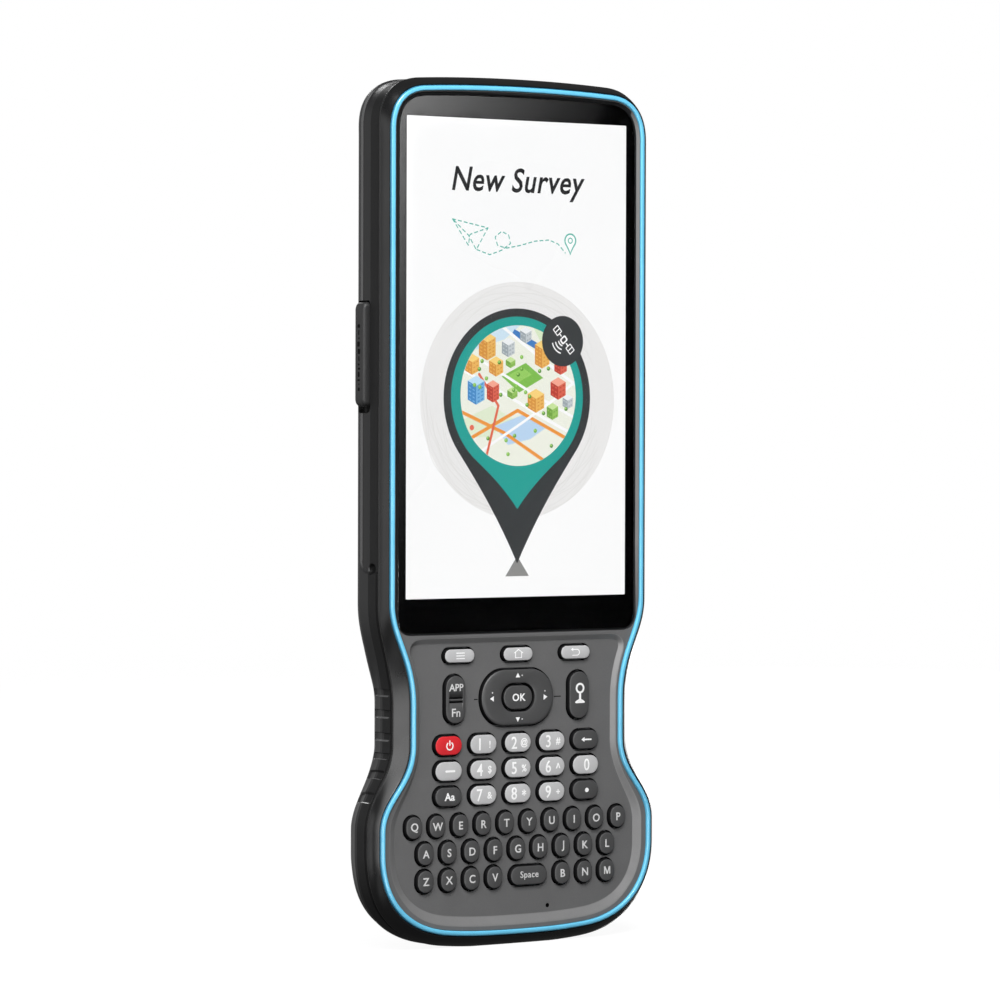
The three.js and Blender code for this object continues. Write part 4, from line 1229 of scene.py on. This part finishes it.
class Cap:
    """A key cap: foot, black skirt, rolled edge, gently crowned face."""

    def __init__(self, node, body, top_mat, r=None, name=None, crown=CROWN, foot=None):
        self.x, self.h, self.w, self.hh, t0, t1 = node_box(node)
        self.top, self.foot = t0, t1 if foot is None else foot
        self.r = min(self.w, self.hh) / 2 - 0.01 if r is None else r
        self.crown = crown
        self.node, self.body, self.mats = node, body, ["key_side", top_mat, "legend", "legend_soft"]
        self.name = name or node + "_cap"
        self.b = Build()

    def depth(self, x, h):
        """t of the face at a point."""
        qx, qh = abs(x - self.x) - (self.w / 2 - self.r), abs(h - self.h) - (self.hh / 2 - self.r)
        sd = math.hypot(max(qx, 0), max(qh, 0)) + min(max(qx, qh), 0) - self.r
        return self.at(-sd)

    def at(self, d):
        dm = min(self.w, self.hh) / 2
        t0 = self.top + self.crown
        if d < EDGE:
            return t0 + EDGE * (1 - math.sqrt(max(0, 1 - (1 - max(d, 0) / EDGE) ** 2)))
        k = 1 - (d - EDGE) / max(dm - EDGE, 1e-6)
        return t0 - self.crown * (1 - max(k, 0) ** 2)

    def body_mesh(self, seg=9):
        dm = min(self.w, self.hh) / 2
        loops = [(0.0, self.foot), (0.0, self.top + self.crown + EDGE + 0.02)]
        for d in (0.02, 0.06, 0.12, 0.2, 0.3, 0.4, 0.5, 0.62, 0.8, 1.05, 1.35, 1.7, 2.05, 2.35):
            if d < min(self.r, dm) - 0.1:
                loops.append((d, self.at(d)))
        last = min(self.r, dm) - 0.1
        loops.append((last, self.at(last)))
        ids = []
        for d, t in loops:
            ids.append(self.b.loop(rrect(self.w - 2 * d, self.hh - 2 * d, max(self.r - d, 0.05), seg, self.x, self.h), t))
        for k in range(len(ids) - 1):
            d = loops[k + 1][0]
            self.b.bridge(ids[k], ids[k + 1], 0 if d <= 0.205 else 1)
        self.b.face(ids[0], 0)
        self.b.face(ids[-1][::-1], 1)

    def solid(self, outline_pts, mat=2, lift=0.035, sink=0.05):
        """A thin printed mark that follows the face."""
        o = [(p[0], p[1]) for p in outline_pts]
        top = self.b.loop([(x, h, self.depth(x, h) - lift) for x, h in o])
        bot = self.b.loop([(x, h, self.depth(x, h) + sink) for x, h in o])
        for t in tessellate_polygon([[Vector((x, h, 0)) for x, h in o]]):
            self.b.face([top[i] for i in t], mat)
            self.b.face([bot[i] for i in t][::-1], mat)
        self.b.bridge(top, bot, mat)

    def line(self, pts, w, mat=2, closed=False):
        if closed:
            a, c = stroke_poly(pts, w, True)
            n = len(a)
            for s in (0,):
                top = [self.b.loop([(q[0], q[1], self.depth(q[0], q[1]) - 0.035) for q in l]) for l in (a, c)]
                bot = [self.b.loop([(q[0], q[1], self.depth(q[0], q[1]) + 0.05) for q in l]) for l in (a, c)]
                self.b.bridge(top[0], top[1], mat)
                self.b.bridge(bot[0], bot[1], mat)
                self.b.bridge(top[0], bot[0], mat)
                self.b.bridge(top[1], bot[1], mat)
        else:
            self.solid([tuple(q) for q in stroke_poly(pts, w)], mat)

    def text(self, s, size, dx=0.0, dh=0.0, mat=2, bold=0.0, squeeze=1.0, spacing=1.0):
        v, f, _ = text_mesh(s, size, bold, spacing)
        v = [(self.x + dx + x * squeeze, self.h + dh + y) for x, y in v]
        top = self.b.loop([(x, h, self.depth(x, h) - 0.035) for x, h in v])
        bot = self.b.loop([(x, h, self.depth(x, h) + 0.05) for x, h in v])
        edge = {}
        for q in f:
            self.b.face([top[i] for i in q], mat)
            self.b.face([bot[i] for i in q][::-1], mat)
            for i in range(len(q)):
                a, c = q[i], q[(i + 1) % len(q)]
                edge[(a, c)] = edge.get((a, c), 0) + 1
        for (a, c) in edge:
            if (c, a) not in edge:
                self.b.face((top[a], top[c], bot[c], bot[a]), mat)

    def done(self, angle=36):
        o = self.b.obj(self.name, self.mats, angle=angle, merge=0)
        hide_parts(self.node)
        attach(o, self.body)
        return o


def letter_keys():
    for c in "qwertyuiopasdfghjklzxcvbnm":
        k = Cap("key_" + c, "key_" + c, "key_dark", r=2.52)
        k.body_mesh()
        k.text(c.upper(), 2.85, mat=3, bold=0.045, squeeze=1.0)
        k.done()
    k = Cap("key_space", "key_space", "key_dark")
    k.body_mesh()
    k.text("Space", 2.35, mat=3, bold=0.02, squeeze=1.0, spacing=1.08)
    k.done()


def number_keys():
    pairs = {"1": "!", "2": "@", "3": "#", "4": "$", "5": "%", "6": "^", "7": "&", "8": "*", "9": "+"}
    for d, s in pairs.items():
        k = Cap("key_" + d, "key_" + d, "key_silver")
        k.body_mesh()
        k.text(d, 4.4, dx=-1.25, bold=0.05, squeeze=0.86)
        k.text(s, 2.5 if s not in "*^" else 3.4, dx=1.85, dh=-0.1 if s not in "*^" else 0.1, bold=0.055, squeeze=0.9)
        k.done()
    k = Cap("key_0", "key_0", "key_silver")
    k.body_mesh()
    k.text("0", 4.3, dx=0.25, bold=0.04, squeeze=0.86)
    k.done()
    k = Cap("key_minus", "key_minus", "key_silver")
    k.body_mesh()
    k.line([(k.x - 0.9, k.h), (k.x + 1.6, k.h)], 0.55)
    k.done()
    k = Cap("key_shift", "key_shift", "key_dark")
    k.body_mesh()
    k.text("Aa", 2.75, dx=0.2, mat=2, bold=0.06)
    k.done()
    k = Cap("key_dot", "key_dot", "key_dark")
    k.body_mesh()
    k.solid(circle(k.x + 0.3, k.h - 0.1, 0.58, 20))
    k.done()
    k = Cap("key_backspace", "key_backspace", "key_dark")
    k.body_mesh()
    k.line([(k.x - 1.0, k.h), (k.x + 1.6, k.h)], 0.4)
    k.solid([(k.x - 1.5, k.h), (k.x - 0.5, k.h - 0.62), (k.x - 0.5, k.h + 0.62)])
    k.done()
    k = Cap("key_power", "key_power", "key_red")
    k.body_mesh()
    k.line(circle(k.x + 0.2, k.h - 0.1, 0.95, 26, 128, 412), 0.32)
    k.line([(k.x + 0.2, k.h + 0.1), (k.x + 0.2, k.h + 1.2)], 0.32)
    k.done()


def function_keys():
    k = Cap("key_menu", "key_menu", "key_silver")
    k.body_mesh()
    for dh in (-0.7, 0, 0.7):
        k.line([(k.x - 1.1, k.h + dh), (k.x + 1.3, k.h + dh)], 0.26, 2)
    k.done()
    k = Cap("key_home", "key_home", "key_silver")
    k.body_mesh()
    pts = [(k.x - 0.95, k.h - 0.95), (k.x + 0.95, k.h - 0.95), (k.x + 0.95, k.h + 0.35), (k.x + 1.25, k.h + 0.35), (k.x, k.h + 1.15), (k.x - 1.25, k.h + 0.35), (k.x - 0.95, k.h + 0.35)]
    k.line(pts, 0.24, 2, closed=True)
    k.done()
    k = Cap("key_back", "key_back", "key_silver")
    k.body_mesh()
    arc = circle(k.x + 0.35, k.h - 0.05, 0.75, 12, 90, -90)
    k.line([(k.x - 1.0, k.h + 0.7)] + arc + [(k.x - 1.0, k.h - 0.8)], 0.26, 2)
    k.solid([(k.x - 1.6, k.h + 0.7), (k.x - 0.85, k.h + 0.25), (k.x - 0.85, k.h + 1.15)])
    k.done()
    k = Cap("key_ok", "key_ok", "key_dark", r=3.18)
    k.body_mesh(14)
    k.text("OK", 2.6, dx=0.2, bold=0.06, spacing=1.12)
    k.done()
    k = Cap("key_measure", "key_measure", "key_dark")
    k.body_mesh(12)
    x, h = k.x + 0.15, k.h + 0.4
    k.line(circle(x, h + 1.35, 1.12, 28), 0.52, 2, closed=True)
    k.line([(x, h + 0.1), (x, h - 1.9)], 0.62)
    k.line([(x - 1.0, h - 2.0), (x, h - 1.55), (x + 1.0, h - 2.0)], 0.4)
    k.line([(x - 1.25, h - 2.25), (x + 1.25, h - 2.25)], 0.5)
    k.done()
    k = Cap("app_fn_rocker", "app_fn", "key_dark", r=3.05, crown=0.1)
    k.body_mesh(12)
    k.text("APP", 2.6, dx=0.05, dh=3.1, mat=3, bold=0.03, squeeze=0.98)
    k.text("Fn", 3.0, dx=0.0, dh=-3.3, mat=3, bold=0.03, squeeze=1.0)
    o = k.done()
    # the two grooves across its middle are cut into the cap
    cut = Build()
    for dh in (-0.62, 0.42):
        cut.levels([(rrect(4.2, 0.46, 0.2, 3, k.x, k.h + dh), k.top - 0.5), (rrect(4.2, 0.46, 0.2, 3, k.x, k.h + dh), k.top + 0.42)])
    c = cut.obj("cutter", ["gap_shade_and_ink"])
    md = o.modifiers.new("grooves", "BOOLEAN")
    md.operation, md.object, md.solver = "DIFFERENCE", c, "EXACT"
    bpy.context.view_layer.update()
    me = bpy.data.meshes.new_from_object(o.evaluated_get(bpy.context.evaluated_depsgraph_get()))
    o.modifiers.clear()
    o.data = me
    bpy.data.objects.remove(c)


def nav_ring():
    x, h, w, hh, t0, t1 = node_box("nav_ring")
    k = Cap("nav_ring", "nav_ring", "key_dark", r=7.15, crown=0.0)
    seg = 16
    iw, ih, ir = 9.9, 7.1, 3.5
    b = k.b

    def mixed(u, g=0.0):
        o = rrect(w, hh, 7.15, seg, x, h)
        i = rrect(iw, ih, ir, seg, x, h)
        return [(a[0] + (c[0] - a[0]) * u, a[1] + (c[1] - a[1]) * u) for a, c in zip(o, i)]
    top = t0
    prof = [(0.0, t1, 0), (0.0, top + 0.75, 0), (0.004, top + 0.55, 0), (0.02, top + 0.34, 0), (0.05, top + 0.19, 1), (0.09, top + 0.10, 1), (0.15, top + 0.04, 1), (0.25, top + 0.01, 1), (0.42, top, 1),
            (0.62, top + 0.03, 1), (0.8, top + 0.09, 1), (0.9, top + 0.15, 1), (0.955, top + 0.22, 1), (0.985, top + 0.32, 0), (1.0, top + 0.46, 0), (1.0, t1, 0)]
    ids = [b.loop(mixed(u), t) for u, t, _ in prof]
    for i in range(len(ids) - 1):
        b.bridge(ids[i], ids[i + 1], prof[i + 1][2])
    b.bridge(ids[-1], ids[0], 0)
    k.depth = lambda px, ph: top + 0.03
    hx, hv = 8.3, 5.6
    tri = lambda cx, ch, a, s=0.62: [(cx + s * math.cos(math.radians(a + 120 * i)), ch + s * math.sin(math.radians(a + 120 * i))) for i in range(3)]
    k.solid(tri(x - hx + 0.2, h - 0.15, 180, 0.78), lift=0.06)
    k.solid(tri(x + hx - 0.0, h - 0.15, 0, 0.78), lift=0.06)
    k.solid(tri(x - 0.2, h + hv - 0.1, 90, 0.78), lift=0.06)
    k.solid(tri(x - 0.2, h - hv + 0.1, -90, 0.78), lift=0.06)
    for cx, ch in ((x - hx + 0.2, h + 1.4), (x + hx, h + 1.4), (x + 1.15, h + hv), (x + 1.15, h - hv)):
        k.solid(circle(cx, ch, 0.2, 10), 3, lift=0.06)
    k.done(angle=38)


letter_keys()
number_keys()
function_keys()
nav_ring()


# small printed pointers on the deck beside the ring
def deck_marks():
    x, h, w, hh, _, _ = node_box("nav_ring")
    b = Build()
    for s, ln in ((-1, 1.2), (1, 2.2)):
        b.levels([(rrect(ln, 0.26, 0.1, 3, x + s * (w / 2 + 0.6 + ln / 2), h - 0.2), 1.72), (rrect(ln, 0.26, 0.1, 3, x + s * (w / 2 + 0.6 + ln / 2), h - 0.2), 1.685)])
    o = b.obj("deck_marks", ["key_side"])
    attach(o, "housing")


deck_marks()

# ------------------------------------------------------------------ carried-over CAD nodes
for node, mat in (("keypad_mat", "silicone"), ("nav_pivot", "silicone"), ("main_board", "pcb")):
    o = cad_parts[node]
    if not o.material_slots:
        o.data.materials.append(M[mat])
    for s in o.material_slots:
        s.material = M[mat]

# ------------------------------------------------------------------ floor, light, camera
def stage_floor():
    z = CAD_LO.z - 0.0001
    me = bpy.data.meshes.new("floor")
    n = 64
    vs = [(0, 0, z)] + [(2.2 * math.cos(2 * math.pi * i / n), 2.2 * math.sin(2 * math.pi * i / n), z) for i in range(n)]
    me.from_pydata(vs, [], [(0, 1 + i, 1 + (i + 1) % n) for i in range(n)])
    o = bpy.data.objects.new("floor", me)
    bpy.context.scene.collection.objects.link(o)
    m, nt, b = _mat("floor_pale")
    tc = nt.nodes.new("ShaderNodeTexCoord").outputs["Object"]
    b.inputs["Roughness"].default_value = 0.9
    b.inputs["Specular IOR Level"].default_value = 0.0
    b.inputs["Emission Color"].default_value = (1, 1, 1, 1)
    b.inputs["Emission Strength"].default_value = 0.93
    nt.links.new(_ramp(nt, _noise(nt, 3.0, 2.0, 0.5, tc), [(0.3, (0.10, 0.10, 0.10)), (0.7, (0.13, 0.13, 0.13))]), b.inputs["Base Color"])
    # fades into the surroundings away from the object
    ln = nt.nodes.new("ShaderNodeVectorMath")
    ln.operation = "LENGTH"
    nt.links.new(tc, ln.inputs[0])
    mr = nt.nodes.new("ShaderNodeMapRange")
    mr.interpolation_type = "SMOOTHSTEP"
    mr.inputs["From Min"].default_value = 0.35
    mr.inputs["From Max"].default_value = 1.5
    mr.inputs["To Min"].default_value = 1.0
    mr.inputs["To Max"].default_value = 0.0
    nt.links.new(ln.outputs["Value"], mr.inputs["Value"])
    nt.links.new(mr.outputs["Result"], b.inputs["Alpha"])
    me.materials.append(m)
    o.visible_glossy = False
    o.visible_diffuse = False


stage_floor()

world = bpy.context.scene.world or bpy.data.worlds.new("World")
bpy.context.scene.world = world
world.use_nodes = True
wn = world.node_tree
wn.nodes.clear()
out = wn.nodes.new("ShaderNodeOutputWorld")
mixw = wn.nodes.new("ShaderNodeMixShader")
lp = wn.nodes.new("ShaderNodeLightPath")
bg1, bg2 = wn.nodes.new("ShaderNodeBackground"), wn.nodes.new("ShaderNodeBackground")
bg1.inputs["Color"].default_value = (1, 1, 1, 1)
bg1.inputs["Strength"].default_value = 0.09
bg2.inputs["Color"].default_value = (1, 1, 1, 1)
bg2.inputs["Strength"].default_value = 1.0
wn.links.new(lp.outputs["Is Camera Ray"], mixw.inputs["Fac"])
wn.links.new(bg1.outputs[0], mixw.inputs[1])
wn.links.new(bg2.outputs[0], mixw.inputs[2])
wn.links.new(mixw.outputs[0], out.inputs["Surface"])


def area(name, loc, target, size, power, shape="RECTANGLE", size_y=None, color=(1, 1, 1), spread=180):
    d = bpy.data.lights.new(name, "AREA")
    d.shape = shape
    d.size = size
    if size_y:
        d.size_y = size_y
    d.energy = power
    d.color = color
    d.spread = math.radians(spread)
    o = bpy.data.objects.new(name, d)
    o.location = loc
    o.rotation_mode = "QUATERNION"
    o.rotation_quaternion = (Vector(target) - Vector(loc)).to_track_quat("-Z", "Y")
    o.visible_camera = False
    bpy.context.scene.collection.objects.link(o)
    return o


def round_about(az, el, dist):
    a, e = math.radians(az), math.radians(el)
    return (dist * math.sin(a) * math.cos(e), -dist * math.cos(a) * math.cos(e), dist * math.sin(e))


def softbox(name, az, el, dist, w, h, radiance):
    return area(name, round_about(az, el, dist), (0, 0, 0), w, radiance * math.pi * w * h, size_y=h)


softbox("key_top", -22, 48, 1.3, 0.5, 0.5, 19.0)
area("fill_front", (0.1, -1.5, -0.35), (0, 0, 0), 0.6, 8.5, size_y=0.6)
softbox("side_front", -56, 4, 1.2, 0.85, 0.95, 3.9)
softbox("side_front_up", -52, 47, 1.2, 0.8, 0.92, 3.4)
softbox("side_low", -68, -36, 1.2, 0.5, 0.4, 0.55)
softbox("side_mid", -107, 0, 1.2, 0.5, 0.9, 1.3)
softbox("side_back", -146, 3, 1.2, 0.5, 0.9, 0.52)
softbox("behind", 178, 5, 1.3, 0.8, 1.0, 0.5)
softbox("right_side", 85, 14, 1.2, 0.5, 0.8, 0.3)
softbox("back_key", 128, -6, 1.3, 0.5, 0.7, 6.0)
softbox("back_rim", 167, 34, 1.3, 0.28, 0.4, 7.0)

# camera: long lens, 34.9 degrees round to the left, almost level
AZ, EL, ROLL = math.radians(-34.87), math.radians(0.98), math.radians(0.16)
F_PX, DIST, TX, TY = 4532.9, 1158.7, -5.03, -36.08
back = Vector((math.sin(AZ) * math.cos(EL), -math.cos(AZ) * math.cos(EL), math.sin(EL)))
rgt = Vector((0, 0, 1)).cross(back).normalized()
upv = back.cross(rgt)
r2 = rgt * math.cos(ROLL) + upv * math.sin(ROLL)
u2 = -rgt * math.sin(ROLL) + upv * math.cos(ROLL)
cam_d = bpy.data.cameras.new("camera")
cam_d.sensor_width = 36.0
cam_d.lens = F_PX / 1000 * 36.0
cam_d.clip_start, cam_d.clip_end = 0.05, 20
cam = bpy.data.objects.new("camera", cam_d)
bpy.context.scene.collection.objects.link(cam)
pos = (r2 * TX + u2 * TY + back * DIST) * MM + Vector(P(0, 0, 0.5))
cam.matrix_world = Matrix((
    (r2.x, u2.x, back.x, pos.x),
    (r2.y, u2.y, back.y, pos.y),
    (r2.z, u2.z, back.z, pos.z),
    (0, 0, 0, 1)))


def glass_card():
    """Graded card off to the front right: it gives the glass its soft grey sheen at the upper left, with a clean slanting edge."""
    plane = P(0, 0, 1.0)[1]
    mir = Vector((pos.x, 2 * plane - pos.y, pos.z))
    ctr = Vector(P(0, -1.4, 1.0))
    r = (ctr - mir).normalized()
    e = Vector((0, 0, 1)).cross(r).normalized()
    base = ctr + r * 0.75
    nx, nz = 90, 150
    vs, cols, fs = [], [], []
    for j in range(nz + 1):
        for i in range(nx + 1):
            q = base + e * (-0.085 + 0.17 * i / nx) + Vector((0, 0, 1)) * (-0.15 + 0.30 * j / nz)
            k = (plane - mir.y) / (q.y - mir.y)
            g = mir + (q - mir) * k - pos
            px = 500 + F_PX * g.dot(r2) / -g.dot(back)
            py = 500 - F_PX * g.dot(u2) / -g.dot(back)
            v = 117 - 0.225 * (py - 110) - 0.46 * (px - 400)
            v = min(max(v, 0.0), 122.0) / 255
            v = v / 12.92 if v <= 0.04045 else ((v + 0.055) / 1.055) ** 2.4
            if px > 602 - 0.17 * (py - 105) or (px > 409 and py > 118 + (px - 405) * 0.052):
                v = 0.0
            vs.append(q)
            cols.append(v)
    for j in range(nz):
        for i in range(nx):
            a = j * (nx + 1) + i
            fs.append((a, a + 1, a + nx + 2, a + nx + 1))
    me = bpy.data.meshes.new("glass_card")
    me.from_pydata(vs, [], fs)
    at = me.color_attributes.new(name="glow", type="FLOAT_COLOR", domain="CORNER")
    for lp in me.loops:
        v = cols[lp.vertex_index]
        at.data[lp.index].color = (v, v, v, 1)
    m, nt, b = _mat("card_glow")
    vc = nt.nodes.new("ShaderNodeVertexColor")
    vc.layer_name = "glow"
    nt.links.new(vc.outputs["Color"], b.inputs["Emission Color"])
    b.inputs["Emission Strength"].default_value = 13.0
    b.inputs["Base Color"].default_value = (0, 0, 0, 1)
    b.inputs["Specular IOR Level"].default_value = 0.0
    b.inputs["Roughness"].default_value = 1.0
    me.materials.append(m)
    o = bpy.data.objects.new("glass_card", me)
    o.visible_camera = False
    o.visible_diffuse = False
    o.visible_shadow = False
    bpy.context.scene.collection.objects.link(o)


glass_card()
bpy.context.scene.camera = cam
bpy.context.scene.view_settings.view_transform = "Standard"
bpy.context.scene.view_settings.look = "None"
